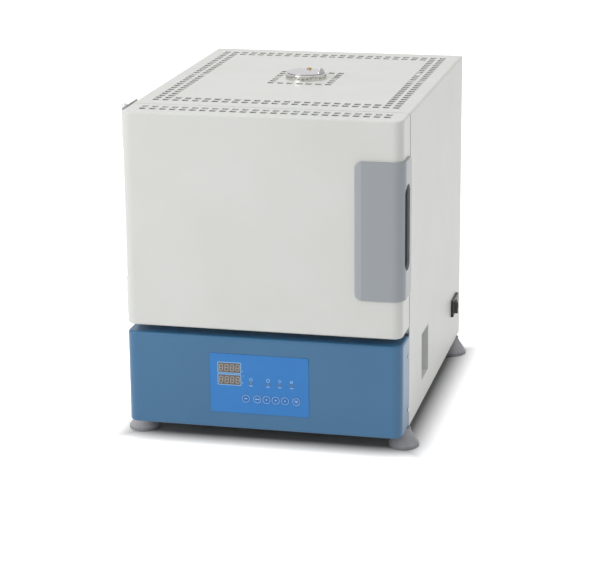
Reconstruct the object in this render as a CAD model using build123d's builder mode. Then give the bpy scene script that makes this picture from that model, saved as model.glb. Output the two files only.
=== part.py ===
from build123d import *
from math import cos, pi, radians, sin, tan
import os

os.makedirs("parts", exist_ok=True)

# Bench-top muffle furnace in millimetres, +Z up, +Y to the back, with its origin on
# the bench under the middle of the whole furnace, cable gland and handle included.

# Heating chamber, and the room round it that makes the size of the whole body
chamber_width = 200.0
chamber_height = 180.0
chamber_depth = 300.0
beside_chamber = 125.0
above_and_below_chamber = 332.0
before_and_behind_chamber = 290.0
body_width = chamber_width + 2 * beside_chamber
body_height = chamber_height + above_and_below_chamber
body_depth = chamber_depth + before_and_behind_chamber
foot_height = 32.0
sheet = 1.5
fold_radius = 4.0
slip = 0.3
running_fit = 0.05

# Front: the door above, the fascia below, both as thick as the seam is deep
front_depth = 67.0
seam_gap = 2.0
corner_radius = 16.0
edge_radius = 4.0
fascia_height = 153.0
door_gap = 11.5
door_side_gap = 0.5
handle_proud = 4.0
gland_reach = 24.0

# Perforated strips
slot_pitch_x = 16.3
slot_pitch_y = 17.3
slot_width = 10.5
slot_length = 10.7
slot_margin_x = 27.0
slot_margin_y = 36.0
top_columns = int((body_width - 2 * slot_margin_x) / slot_pitch_x) + 1
top_rows = int((body_depth - front_depth - 2 * slot_margin_y) / slot_pitch_y) + 1
ring_slots = 7
door_slot_rows = (29.0, 46.3)

# Insulation round the chamber, and how the chamber stands to the door
chamber_above_door = 83.5
side_insulation = 68.0
flat_insulation = 64.0
rear_insulation = 70.0
throat_depth = 45.0
mouth_flare = 8.0
frame_setback = 2.0
plug_clearance = 2.0
plug_short = 3.0

# Vent in the top
collar_radius = 34.5
collar_height = 9.5
collar_wall = 1.5
flue_radius = 13.0
flue_wall = 4.0
lid_radius = 31.5
lid_thickness = 1.5
lid_pivot_back = 24.0

# Control panel on the fascia
panel_x = -5.5
panel_height_up = 76.0
panel_width = 162.5
panel_height = 99.0
panel_proud = 0.4
panel_flange = 4.0
display_width = 41.0
display_height = 17.5
display_x = -54.4
display_rise = 92.0
display_pitch = 20.0
key_radius = 6.8
key_rise = 52.0
key_travel = 0.5
key_proud = 0.6
key_places = {
    "set_key": -27.7,
    "auto_tune_key": -8.8,
    "shift_key": 6.4,
    "down_key": 21.5,
    "up_key": 36.6,
    "run_stop_key": 55.2,
}
lamp_places = (-19.0, 9.0, 28.2, 47.6)
lamp_rise = 78.4
lamp_radius = 1.8
board_setback = 22.0
board_thickness = 1.6

# Door handle
handle_width = 74.5
handle_height = 221.5
handle_drop = 1.0
handle_back = 60.0
handle_corner = 11.0
finger_slot_height = 137.0
finger_slot_rise = 2.2
finger_slot_front = 9.0
finger_slot_back = 44.0
finger_depth = 52.0
cup_wall = 2.0

# Hinges
hinge_axis_out = 5.0
hinge_axis_back = 46.0
knuckle_radius = 4.8
hinge_length = 62.0
upper_hinge_rise = 1.0
lower_hinge_rise = 75.5
leaf_thickness = 2.0
pin_radius = 2.5

# Feet
foot_in = 7.0
front_foot_back = 62.0
rear_foot_in = 32.0
foot_radius = 24.5
foot_top_radius = 11.0
foot_rim = 6.0
stud_radius = 3.0
rib_count = 20

# Recess with the circuit breaker, and the mains switch, both on the right side
recess_back = 215.0
recess_rise = 78.5
recess_width = 67.0
recess_height = 83.0
recess_depth = 28.0
breaker_width = 36.0
breaker_nose = 45.0
breaker_height = 82.0
breaker_depth = 58.0
switch_in = 71.0
switch_rise = 72.0
switch_width = 58.0
switch_height = 30.0
switch_proud = 5.0
rocker_tilt = 8.0

# Electrical bay
divider_lift = 11.0
fan_size = 92.0
fan_depth = 25.0
fan_in = 105.0
fan_rise = 82.0
blade_count = 7
gland_in = 75.0
gland_rise = 60.0
gland_bore = 5.5

# Planes of the furnace that the sizes above fix
front_y = -(body_depth + gland_reach - handle_proud) / 2
rear_y = front_y + body_depth
seam_y = front_y + front_depth
base_z = foot_height
top_z = base_z + body_height
fascia_top_z = base_z + fascia_height
door_bottom_z = fascia_top_z + door_gap
door_back_y = seam_y - seam_gap
door_mid_z = (door_bottom_z + top_z) / 2
side_x = body_width / 2
foot_x = side_x - foot_in
fan_x = side_x - fan_in
gland_x = gland_in - side_x
inside_x = side_x - sheet
door_side_x = side_x - door_side_gap
vent_y = (seam_y + rear_y) / 2
frame_y = seam_y + frame_setback
throat_y = frame_y + sheet
chamber_front_y = throat_y + throat_depth
chamber_back_y = chamber_front_y + chamber_depth
case_back_y = chamber_back_y + rear_insulation
chamber_bottom_z = door_bottom_z + chamber_above_door
chamber_top_z = chamber_bottom_z + chamber_height
chamber_mid_z = (chamber_bottom_z + chamber_top_z) / 2
case_half_width = chamber_width / 2 + side_insulation
case_bottom_z = chamber_bottom_z - flat_insulation
case_top_z = chamber_top_z + flat_insulation
divider_z = fascia_top_z + divider_lift
mouth_width = chamber_width + 2 * mouth_flare
mouth_height = chamber_height + 2 * mouth_flare


def upright(y):
    """Plane across the furnace at depth y. It faces the front, so a positive extrusion comes forward."""
    return Plane.XZ.offset(-y)


def sideways(x):
    """Plane along the furnace at x. It faces right, so a positive extrusion goes to the right."""
    return Plane.YZ.offset(x)


def level(z):
    """Flat plane at height z, facing up."""
    return Plane.XY.offset(z)


def rounded_front(width, radius, front, back, low, high):
    """Block as wide as the furnace's front, with its two upright front edges rounded."""
    with BuildPart() as block:
        with BuildSketch(level(low)) as plan:
            with Locations((0, (front + back) / 2)):
                Rectangle(width, back - front)
            fillet(plan.vertices().group_by(Axis.Y)[0], radius)
        extrude(amount=high - low)
    return block


def border_slots(columns, rows, border):
    """Places of the slots in a frame that is border slots wide, as column and row steps from its middle."""
    steps = []
    for column in range(columns):
        for row in range(rows):
            if min(column, columns - 1 - column, row, rows - 1 - row) < border:
                steps.append((column - (columns - 1) / 2, row - (rows - 1) / 2))
    return steps


# Cabinet shell: one sheet folded into the top and both sides, punched with air slots
slot_steps = border_slots(top_columns, top_rows, 2) + border_slots(ring_slots, ring_slots, 1)
slot_points = [(column * slot_pitch_x, vent_y + row * slot_pitch_y) for column, row in slot_steps]
recess_y = front_y + recess_back
recess_z = base_z + recess_rise
switch_y = rear_y - switch_in
switch_z = base_z + switch_rise
switch_rim = 3.0
rear_flange = 15.0
pan_lip = 20.0
flange_low_z = base_z + pan_lip + 2
screw_radius = 2.0
rear_screw_low = 45.0
rear_screw_drop = 30.0
rear_screw_steps = 3
rear_screw_pitch = (body_height - rear_screw_low - rear_screw_drop) / rear_screw_steps
rear_screw_zs = [base_z + rear_screw_low + step * rear_screw_pitch for step in range(rear_screw_steps + 1)]
rear_screw_points = [(side * (inside_x - 8), z) for side in (-1, 1) for z in rear_screw_zs]
with BuildPart() as cabinet_shell:
    with BuildSketch(upright(rear_y)) as arch:
        with Locations((0, base_z + body_height / 2)):
            Rectangle(body_width, body_height)
        fillet(arch.vertices().group_by(Axis.Y)[-1], fold_radius)
        with Locations((0, base_z + body_height / 2 - sheet)):
            Rectangle(2 * inside_x, body_height, mode=Mode.SUBTRACT)
        inner_corners = arch.vertices().filter_by_position(Axis.Y, top_z - 1.1 * sheet, top_z - 0.9 * sheet)
        fillet(inner_corners, fold_radius - sheet)
    extrude(amount=rear_y - seam_y)
    with BuildSketch(level(top_z)):
        with Locations(*slot_points):
            Rectangle(slot_width, slot_length)
        with Locations((0, vent_y)):
            Circle(flue_radius + flue_wall + 2)
    extrude(amount=-2 * sheet, mode=Mode.SUBTRACT)
    with BuildSketch(sideways(side_x)):
        with Locations((recess_y, recess_z)):
            Rectangle(recess_width, recess_height)
        with Locations((switch_y, switch_z)):
            Rectangle(switch_width - 2 * switch_rim, switch_height - 2 * switch_rim)
    extrude(amount=-2 * sheet, mode=Mode.SUBTRACT)
    with BuildSketch(upright(rear_y - sheet)):
        for side in (-1, 1):
            with Locations((side * (inside_x - rear_flange / 2), (flange_low_z + top_z - fold_radius) / 2)):
                Rectangle(rear_flange, top_z - fold_radius - flange_low_z)
    extrude(amount=sheet)
    with BuildSketch(upright(rear_y - sheet)):
        with Locations(*rear_screw_points):
            Circle(screw_radius + running_fit)
    extrude(amount=sheet, mode=Mode.SUBTRACT)
cabinet_shell.part.label = "cabinet_shell"
export_step(cabinet_shell.part, "parts/cabinet_shell.step")

# Roof rail: a flat bar across the cabinet under its top, with an eye round the flue
rail_width = 18.0
rail_thickness = 3.0
eye_radius = 30.0
with BuildPart() as roof_rail:
    with BuildSketch(level(top_z - sheet)):
        with Locations((0, vent_y)):
            Rectangle(2 * (inside_x - fold_radius), rail_width)
            Circle(eye_radius)
            Circle(flue_radius + flue_wall + 2, mode=Mode.SUBTRACT)
    extrude(amount=-rail_thickness)
roof_rail.part.label = "roof_rail"
export_step(roof_rail.part, "parts/roof_rail.step")

# Base pan: a tray between the cabinet's sides, with bosses for the feet and air slots
pan_front_y = front_y + 24
pan_back_y = rear_y - sheet - slip
boss_radius = 5.0
boss_height = 12.0
foot_ys = (front_y + front_foot_back, rear_y - rear_foot_in)
foot_points = [(side * foot_x, y) for y in foot_ys for side in (-1, 1)]
pan_slot_pitch = 14.0
pan_slot_length = 70.0
with BuildPart() as base_pan:
    with BuildSketch(level(base_z)):
        with Locations((0, (pan_front_y + pan_back_y) / 2)):
            Rectangle(2 * inside_x, pan_back_y - pan_front_y)
    extrude(amount=pan_lip)
    with BuildSketch(level(base_z + sheet)):
        with Locations((0, (pan_front_y + pan_back_y) / 2)):
            Rectangle(2 * (inside_x - sheet), pan_back_y - pan_front_y - 2 * sheet)
    extrude(amount=pan_lip, mode=Mode.SUBTRACT)
    with BuildSketch(level(base_z)):
        with Locations(*foot_points):
            Circle(boss_radius)
    extrude(amount=sheet + boss_height)
    with BuildSketch(level(base_z)):
        with Locations(*foot_points):
            Circle(stud_radius + running_fit)
    extrude(amount=sheet + boss_height, mode=Mode.SUBTRACT)
    with BuildSketch(level(base_z)):
        with Locations((0, vent_y)):
            with GridLocations(pan_slot_length + 20, pan_slot_pitch, 3, 8):
                SlotOverall(pan_slot_length, 5)
    extrude(amount=sheet, mode=Mode.SUBTRACT)
base_pan.part.label = "base_pan"
export_step(base_pan.part, "parts/base_pan.step")

# Levelling feet: a ribbed conical pad on a threaded stud that turns in the pan's boss
stud_top = base_z + sheet + boss_height + 3
with BuildPart() as foot_pattern:
    with BuildSketch(Plane.XZ):
        with BuildLine():
            Polyline(
                (0, 0),
                (foot_radius - 2, 0),
                (foot_radius, 1.5),
                (foot_radius, foot_rim),
                (foot_radius - 1.5, foot_rim + 1.5),
                (foot_top_radius, base_z - 5),
                (foot_top_radius, base_z - slip),
                (stud_radius, base_z - slip),
                (stud_radius, stud_top - 1),
                (stud_radius - 1, stud_top),
                (0, stud_top),
                close=True,
            )
        make_face()
    revolve(axis=Axis.Z)
    with BuildSketch(level(1.5)):
        with PolarLocations(foot_radius, rib_count):
            Rectangle(1.6, 2.4)
    extrude(amount=foot_rim - 1.5, mode=Mode.SUBTRACT)
foot_names = ("front_left_foot", "front_right_foot", "rear_left_foot", "rear_right_foot")
for foot_name, (x, y) in zip(foot_names, foot_points):
    with BuildPart() as levelling_foot:
        with Locations((x, y, 0)):
            add(foot_pattern.part)
    levelling_foot.part.label = foot_name
    export_step(levelling_foot.part, f"parts/{foot_name}.step")

# Bay divider: the shelf between the electrical bay and the hot part, with two ribs for the case
rib_x = case_half_width - 58
rib_width = 30.0
divider_back_y = case_back_y + 20
with BuildPart() as bay_divider:
    with BuildSketch(upright(divider_back_y)):
        with Locations((0, divider_z + sheet / 2)):
            Rectangle(2 * inside_x, sheet)
        for side in (-1, 1):
            with Locations((side * (inside_x - sheet / 2), divider_z - 6)):
                Rectangle(sheet, 12 + sheet)
            with Locations((side * rib_x, (divider_z + case_bottom_z - sheet) / 2)):
                Rectangle(rib_width, case_bottom_z - sheet - divider_z)
            with Locations((side * rib_x, (divider_z + case_bottom_z - sheet) / 2 - sheet)):
                Rectangle(rib_width - 2 * sheet, case_bottom_z - sheet - divider_z, mode=Mode.SUBTRACT)
    extrude(amount=divider_back_y - throat_y)
bay_divider.part.label = "bay_divider"
export_step(bay_divider.part, "parts/bay_divider.step")

# Front frame: stainless sheet round the chamber's mouth, which the door closes on
frame_bottom_z = fascia_top_z + 1
with BuildPart() as front_frame:
    with BuildSketch(upright(throat_y)):
        with Locations((0, (frame_bottom_z + top_z - sheet) / 2)):
            Rectangle(2 * inside_x, top_z - sheet - frame_bottom_z)
        with Locations((0, chamber_mid_z)):
            Rectangle(mouth_width, mouth_height, mode=Mode.SUBTRACT)
    extrude(amount=sheet)
    top_corners = front_frame.edges().filter_by(Axis.Y).group_by(Axis.Z)[-1]
    fillet(top_corners, fold_radius - sheet)
front_frame.part.label = "front_frame"
export_step(front_frame.part, "parts/front_frame.step")

# Inner case: a stainless box, open to the front, that holds the insulation boards
element_rise = 24.0
element_passes = 6
element_pitch = (chamber_height - 2 * element_rise) / (element_passes - 1)
element_radius = 4.5
element_hole = element_radius + 2.5
element_zs = (chamber_bottom_z + element_rise, chamber_top_z - element_rise)
probe_z = chamber_top_z - 42
probe_radius = 4.0
with BuildPart() as inner_case:
    with BuildSketch(upright(case_back_y + sheet)):
        with Locations((0, chamber_mid_z)):
            Rectangle(2 * (case_half_width + sheet), case_top_z - case_bottom_z + 2 * sheet)
    extrude(amount=case_back_y + sheet - throat_y)
    with BuildSketch(upright(case_back_y)):
        with Locations((0, chamber_mid_z)):
            Rectangle(2 * case_half_width, case_top_z - case_bottom_z)
    extrude(amount=case_back_y - throat_y, mode=Mode.SUBTRACT)
    with BuildSketch(upright(case_back_y + sheet)):
        with Locations((0, probe_z)):
            Circle(probe_radius + slip)
        for z in element_zs:
            with Locations((-chamber_width / 2, z), (chamber_width / 2, z)):
                Circle(element_hole)
    extrude(amount=sheet, mode=Mode.SUBTRACT)
    with BuildSketch(level(case_top_z)):
        with Locations((0, vent_y)):
            Circle(flue_radius + flue_wall + slip)
    extrude(amount=sheet, mode=Mode.SUBTRACT)
inner_case.part.label = "inner_case"
export_step(inner_case.part, "parts/inner_case.step")

# Heating elements: one hairpin winding in the grooves of each side wall


def element_path(x):
    """Winding of one side wall: level passes joined by half-round turns, its two ends out of the back."""
    turn = element_pitch / 2
    near = chamber_front_y + 20 + turn
    far = chamber_back_y - 12 - turn
    tail = case_back_y + 22
    with BuildLine() as path:
        for step in range(element_passes):
            z = chamber_bottom_z + element_rise + step * element_pitch
            left_end = near
            right_end = tail if step in (0, element_passes - 1) else far
            Line((x, left_end, z), (x, right_end, z))
            if step < element_passes - 1:
                turn_y = near if step % 2 == 0 else far
                bulge = turn_y + (-turn if step % 2 == 0 else turn)
                ThreePointArc((x, turn_y, z), (x, bulge, z + turn), (x, turn_y, z + element_pitch))
    return path


def winding(x, radius):
    """Round bar of the given radius along the winding of the wall at x."""
    path = element_path(x)
    start = Plane(origin=(x, case_back_y + 22, chamber_bottom_z + element_rise), z_dir=(0, -1, 0))
    with BuildPart() as bar:
        with BuildSketch(start):
            Circle(radius)
        sweep(path=path.wire())
    return bar


with BuildPart() as heating_elements:
    for side in (-1, 1):
        add(winding(side * chamber_width / 2, element_radius).part)
heating_elements.part.label = "heating_elements"
export_step(heating_elements.part, "parts/heating_elements.step")

# Side walls of the chamber: fibre board with a groove for each pass of the winding
for wall_name, side in (("chamber_left_wall", -1), ("chamber_right_wall", 1)):
    wall_x = side * (chamber_width / 2 + side_insulation / 2)
    with BuildPart() as side_wall:
        with BuildSketch(level(chamber_bottom_z)):
            with Locations((wall_x, (chamber_front_y + case_back_y) / 2)):
                Rectangle(side_insulation, case_back_y - chamber_front_y)
        extrude(amount=chamber_height)
        add(winding(side * chamber_width / 2, element_radius + slip).part, mode=Mode.SUBTRACT)
    side_wall.part.label = wall_name
    export_step(side_wall.part, f"parts/{wall_name}.step")

# Rear wall of the chamber, between the side walls
with BuildPart() as chamber_rear_wall:
    with BuildSketch(upright(case_back_y)):
        with Locations((0, chamber_mid_z)):
            Rectangle(chamber_width, chamber_height)
        with Locations((0, probe_z)):
            Circle(probe_radius + slip, mode=Mode.SUBTRACT)
        for z in element_zs:
            with Locations((-chamber_width / 2, z), (chamber_width / 2, z)):
                Circle(element_radius + slip, mode=Mode.SUBTRACT)
    extrude(amount=rear_insulation)
chamber_rear_wall.part.label = "chamber_rear_wall"
export_step(chamber_rear_wall.part, "parts/chamber_rear_wall.step")

# Floor and roof boards, as wide as the case, the roof with the hole for the flue
for board_name, board_z in (("chamber_floor", case_bottom_z), ("chamber_roof", chamber_top_z)):
    with BuildPart() as flat_board:
        with BuildSketch(level(board_z)):
            with Locations((0, (chamber_front_y + case_back_y) / 2)):
                Rectangle(2 * case_half_width, case_back_y - chamber_front_y)
            if board_name == "chamber_roof":
                with Locations((0, vent_y)):
                    Circle(flue_radius + flue_wall + slip, mode=Mode.SUBTRACT)
        extrude(amount=flat_insulation)
    flat_board.part.label = board_name
    export_step(flat_board.part, f"parts/{board_name}.step")

# Throat: the ring of fibre board behind the front frame, its mouth flared for the door's plug
with BuildPart() as throat_ring:
    with BuildSketch(upright(chamber_front_y)):
        with Locations((0, chamber_mid_z)):
            Rectangle(2 * case_half_width, case_top_z - case_bottom_z)
    extrude(amount=throat_depth)
    with BuildSketch(upright(chamber_front_y)):
        with Locations((0, chamber_mid_z)):
            Rectangle(chamber_width, chamber_height)
    with BuildSketch(upright(throat_y)):
        with Locations((0, chamber_mid_z)):
            Rectangle(mouth_width, mouth_height)
    loft(mode=Mode.SUBTRACT)
throat_ring.part.label = "throat_ring"
export_step(throat_ring.part, "parts/throat_ring.step")

# Hearth plate: the loose ceramic tile that the crucibles stand on
hearth_thickness = 12.0
with BuildPart() as hearth_plate:
    with BuildSketch(level(chamber_bottom_z)) as hearth_plan:
        with Locations((0, (chamber_front_y + chamber_back_y) / 2)):
            RectangleRounded(chamber_width - 24, chamber_depth - 16, 6)
    extrude(amount=hearth_thickness)
    chamfer(hearth_plate.faces().sort_by(Axis.Z)[-1].edges(), 1.5)
hearth_plate.part.label = "hearth_plate"
export_step(hearth_plate.part, "parts/hearth_plate.step")

# Thermocouple: a ceramic sheath through the rear wall, and its connection head behind the case
probe_reach = 38.0
head_radius = 13.0
head_length = 32.0
with BuildPart() as thermocouple_sheath:
    with BuildSketch(upright(case_back_y + sheet)):
        with Locations((0, probe_z)):
            Circle(probe_radius)
    extrude(amount=case_back_y + sheet - chamber_back_y + probe_reach)
    fillet(thermocouple_sheath.faces().sort_by(Axis.Y)[0].edges(), probe_radius * 0.9)
thermocouple_sheath.part.label = "thermocouple_sheath"
export_step(thermocouple_sheath.part, "parts/thermocouple_sheath.step")

with BuildPart() as thermocouple_head:
    with BuildSketch(upright(case_back_y + sheet + head_length)):
        with Locations((0, probe_z)):
            Circle(head_radius)
    extrude(amount=head_length)
    with BuildSketch(upright(case_back_y + sheet + 4)):
        with Locations((0, probe_z)):
            Circle(head_radius + 5)
    extrude(amount=4)
    chamfer(thermocouple_head.faces().sort_by(Axis.Y)[-1].edges(), 2)
thermocouple_head.part.label = "thermocouple_head"
export_step(thermocouple_head.part, "parts/thermocouple_head.step")

# Flue: a ceramic tube from the chamber's roof up into the vent collar
collar_top_z = top_z + collar_height
with BuildPart() as flue_tube:
    with BuildSketch(level(chamber_top_z)):
        with Locations((0, vent_y)):
            Circle(flue_radius + flue_wall)
            Circle(flue_radius, mode=Mode.SUBTRACT)
    extrude(amount=collar_top_z - collar_wall - chamber_top_z)
flue_tube.part.label = "flue_tube"
export_step(flue_tube.part, "parts/flue_tube.step")

# Vent collar: a turned stainless cap on the top, with the flue's hole and the lid's pivot hole
pivot_y = vent_y + lid_pivot_back
pivot_radius = 2.0
with BuildPart() as vent_collar:
    with BuildSketch(level(top_z)):
        with Locations((0, vent_y)):
            Circle(collar_radius)
    extrude(amount=collar_height)
    fillet(vent_collar.faces().sort_by(Axis.Z)[-1].edges(), 1)
    with BuildSketch(level(top_z)):
        with Locations((0, vent_y)):
            Circle(collar_radius - collar_wall)
    extrude(amount=collar_height - collar_wall, mode=Mode.SUBTRACT)
    with BuildSketch(level(collar_top_z)):
        with Locations((0, vent_y)):
            Circle(flue_radius)
        with Locations((0, pivot_y)):
            Circle(pivot_radius + slip)
    extrude(amount=-collar_wall, mode=Mode.SUBTRACT)
vent_collar.part.label = "vent_collar"
export_step(vent_collar.part, "parts/vent_collar.step")

# Vent lid: a disc that swivels about its rear screw, with a tab bent up at the right
lid_z = collar_top_z + slip
tab_radius = 9.0
tab_turn = 17.0
tab_set = lid_radius - lid_thickness - 2
with BuildPart() as vent_lid:
    with BuildSketch(level(lid_z)):
        with Locations((0, vent_y)):
            Circle(lid_radius)
        with Locations((0, pivot_y)):
            Circle(pivot_radius + running_fit, mode=Mode.SUBTRACT)
    extrude(amount=lid_thickness)
    tab_across = (sin(radians(tab_turn)), cos(radians(tab_turn)), 0)
    tab_out = (cos(radians(tab_turn)), -sin(radians(tab_turn)), 0)
    with BuildSketch(Plane(origin=(0, vent_y, lid_z), x_dir=tab_across, z_dir=tab_out).offset(tab_set)):
        Circle(tab_radius)
        with Locations((0, -tab_radius)):
            Rectangle(2 * tab_radius, 2 * tab_radius, mode=Mode.SUBTRACT)
    extrude(amount=lid_thickness)
vent_lid.part.label = "vent_lid"
export_step(vent_lid.part, "parts/vent_lid.step")

# Pivot screw: brass, shouldered, through the lid into the collar
with BuildPart() as vent_pivot_screw:
    with BuildSketch(level(collar_top_z - collar_wall - 3)):
        with Locations((0, pivot_y)):
            Circle(pivot_radius)
    extrude(amount=collar_wall + 3 + slip + lid_thickness + slip)
    with BuildSketch(level(lid_z + lid_thickness + slip)):
        with Locations((0, pivot_y)):
            Circle(pivot_radius + 1.8)
    extrude(amount=1.8)
    fillet(vent_pivot_screw.faces().sort_by(Axis.Z)[-1].edges(), 1)
    with BuildSketch(level(collar_top_z - collar_wall)):
        with Locations((0, pivot_y)):
            Circle(pivot_radius + 2)
    extrude(amount=-2)
vent_pivot_screw.part.label = "vent_pivot_screw"
export_step(vent_pivot_screw.part, "parts/vent_pivot_screw.step")

# Door shell: a folded sheet box, open at the back, with two rows of slots along its top
slot_mid_y = front_y + (finger_slot_front + finger_slot_back) / 2
slot_mid_z = door_mid_z + finger_slot_rise
slot_deep = finger_slot_back - finger_slot_front
slot_tall = finger_slot_height
slot_rounding = slot_deep * 0.4
door_blank = rounded_front(2 * door_side_x, corner_radius, front_y, door_back_y, door_bottom_z, top_z)
door_hollow = rounded_front(
    2 * (door_side_x - sheet),
    corner_radius - sheet,
    front_y + sheet,
    door_back_y,
    door_bottom_z + sheet,
    top_z - sheet,
)
with BuildPart() as door_shell:
    add(door_blank.part)
    front_edges = door_shell.faces().sort_by(Axis.Z)[-1].edges().sort_by(Axis.Y)[:-1]
    fillet(front_edges, edge_radius)
    front_edges = door_shell.faces().sort_by(Axis.Z)[0].edges().sort_by(Axis.Y)[:-1]
    fillet(front_edges, edge_radius)
    add(door_hollow.part, mode=Mode.SUBTRACT)
    with BuildSketch(level(top_z)):
        for row_back in door_slot_rows:
            with Locations((0, front_y + row_back)):
                with GridLocations(slot_pitch_x, 1, top_columns, 1):
                    Rectangle(slot_width, slot_length)
    extrude(amount=-2 * sheet, mode=Mode.SUBTRACT)
    with BuildSketch(sideways(door_side_x)):
        with Locations((slot_mid_y, slot_mid_z)):
            RectangleRounded(slot_deep + 2 * cup_wall + 1, slot_tall + 2 * cup_wall + 1, slot_rounding)
    extrude(amount=-corner_radius, mode=Mode.SUBTRACT)
door_shell.part.label = "door_shell"
export_step(door_shell.part, "parts/door_shell.step")

# Door inner panel: a stainless pan that closes the door's back, with a window for the plug
liner_lip = 15.0
liner_clear = 0.1
plug_width = mouth_width + 30
plug_height = mouth_height + 30
neck_width = mouth_width - 2 * plug_clearance
neck_height = mouth_height - 2 * plug_clearance
liner_low = door_bottom_z + sheet + liner_clear
liner_high = top_z - sheet - liner_clear
liner_half = door_side_x - sheet - liner_clear
with BuildPart() as door_inner_panel:
    with BuildSketch(upright(door_back_y)):
        with Locations((0, (liner_low + liner_high) / 2)):
            Rectangle(2 * liner_half, liner_high - liner_low)
    extrude(amount=liner_lip)
    with BuildSketch(upright(door_back_y - sheet)):
        with Locations((0, (liner_low + liner_high) / 2)):
            Rectangle(2 * (liner_half - sheet), liner_high - liner_low - 2 * sheet)
    extrude(amount=liner_lip, mode=Mode.SUBTRACT)
    with BuildSketch(upright(door_back_y)):
        with Locations((0, chamber_mid_z)):
            Rectangle(neck_width + 1, neck_height + 1)
    extrude(amount=sheet, mode=Mode.SUBTRACT)
door_inner_panel.part.label = "door_inner_panel"
export_step(door_inner_panel.part, "parts/door_inner_panel.step")

# Door plug: fibre board held behind the inner panel, tapered to swing clear of the throat
plug_block = 28.0
with BuildPart() as door_plug:
    with BuildSketch(upright(door_back_y - sheet)):
        with Locations((0, chamber_mid_z)):
            Rectangle(plug_width, plug_height)
    extrude(amount=plug_block)
    with BuildSketch(upright(throat_y)):
        with Locations((0, chamber_mid_z)):
            Rectangle(neck_width, neck_height)
    extrude(amount=throat_y - door_back_y + sheet)
    with BuildSketch(upright(throat_y)):
        with Locations((0, chamber_mid_z)):
            Rectangle(neck_width, neck_height)
    with BuildSketch(upright(chamber_front_y - plug_short)):
        with Locations((0, chamber_mid_z)):
            Rectangle(neck_width - 2 * mouth_flare, neck_height - 2 * mouth_flare)
    loft()
door_plug.part.label = "door_plug"
export_step(door_plug.part, "parts/door_plug.step")

# Handle cover: a grey moulding wrapped round the door's right front edge, slotted for the fingers
handle_low_z = door_mid_z - handle_drop - handle_height / 2
handle_high_z = handle_low_z + handle_height
handle_left_x = door_side_x - handle_width
wrap_blank = rounded_front(
    2 * (door_side_x + handle_proud),
    corner_radius + handle_proud,
    front_y - handle_proud,
    front_y + handle_back,
    handle_low_z,
    handle_high_z,
)
wrap_core = rounded_front(
    2 * door_side_x,
    corner_radius,
    front_y,
    front_y + handle_back + 1,
    handle_low_z - 1,
    handle_high_z + 1,
)
with BuildPart() as handle_cover:
    add(wrap_blank.part)
    add(wrap_core.part, mode=Mode.SUBTRACT)
    with BuildSketch(level(handle_low_z - 1)):
        with Locations((handle_left_x - body_width, 0)):
            Rectangle(2 * body_width, 2 * body_depth)
    extrude(amount=handle_height + 2, mode=Mode.SUBTRACT)
    left_edges = handle_cover.edges().filter_by(Axis.Y).group_by(Axis.X)[0]
    fillet(left_edges, handle_corner)
    back_edges = handle_cover.edges().filter_by(Axis.X).group_by(Axis.Y)[-1]
    fillet(back_edges, handle_corner)
    outer_face = handle_cover.faces().filter_by(Axis.Y).sort_by(Axis.Y)[0]
    fillet(outer_face.edges().filter_by(Axis.Z), 1.5)
    with BuildSketch(sideways(door_side_x + handle_proud)):
        with Locations((slot_mid_y, slot_mid_z)):
            RectangleRounded(slot_deep, slot_tall, slot_rounding)
    extrude(amount=-2 * handle_proud, mode=Mode.SUBTRACT)
handle_cover.part.label = "handle_cover"
export_step(handle_cover.part, "parts/handle_cover.step")

# Handle cup: the moulded pocket behind the slot, where the fingers go
cup_gap = 0.15
cup_limit = rounded_front(
    2 * (door_side_x - cup_gap),
    corner_radius,
    front_y + cup_gap,
    front_y + handle_back,
    handle_low_z,
    handle_high_z,
)
with BuildPart() as handle_cup:
    with BuildSketch(sideways(door_side_x)):
        with Locations((slot_mid_y, slot_mid_z)):
            RectangleRounded(slot_deep + 2 * cup_wall, slot_tall + 2 * cup_wall, slot_rounding + cup_wall)
    extrude(amount=-finger_depth - cup_wall)
    with BuildSketch(sideways(door_side_x)):
        with Locations((slot_mid_y, slot_mid_z)):
            RectangleRounded(slot_deep, slot_tall, slot_rounding)
    extrude(amount=-finger_depth, mode=Mode.SUBTRACT)
    add(cup_limit.part, mode=Mode.INTERSECT)
handle_cup.part.label = "handle_cup"
export_step(handle_cup.part, "parts/handle_cup.step")

# Hinges: two barrels at the left, each a cabinet leaf, a door leaf and a headed pin
hinge_lows = (door_bottom_z + lower_hinge_rise - hinge_length, top_z + upper_hinge_rise - hinge_length)
hinge_x = -(side_x + hinge_axis_out)
hinge_y = front_y + hinge_axis_back
knuckle_gap = 0.3
knuckle = (hinge_length - 2 * knuckle_gap) / 3
leaf_reach = 30.0
cabinet_leaf_reach = 52.0
leaf_set = knuckle_radius + 1.0
with BuildPart() as hinge_door_leaves:
    for low in hinge_lows:
        middle = low + hinge_length / 2
        with BuildSketch(sideways(-door_side_x)):
            with Locations((hinge_y - (leaf_set + leaf_reach) / 2, middle)):
                Rectangle(leaf_reach - leaf_set, hinge_length)
            with Locations((hinge_y - leaf_set / 2, middle)):
                Rectangle(leaf_set, knuckle)
        extrude(amount=-leaf_thickness)
        with BuildSketch(level(middle - knuckle / 2)):
            with Locations((hinge_x, hinge_y)):
                Circle(knuckle_radius)
        extrude(amount=knuckle)
        with BuildSketch(level(middle - knuckle / 2)):
            with Locations((hinge_x, hinge_y)):
                Circle(pin_radius + 2 * running_fit)
        extrude(amount=knuckle, mode=Mode.SUBTRACT)
hinge_door_leaves.part.label = "hinge_door_leaves"
export_step(hinge_door_leaves.part, "parts/hinge_door_leaves.step")

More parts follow.
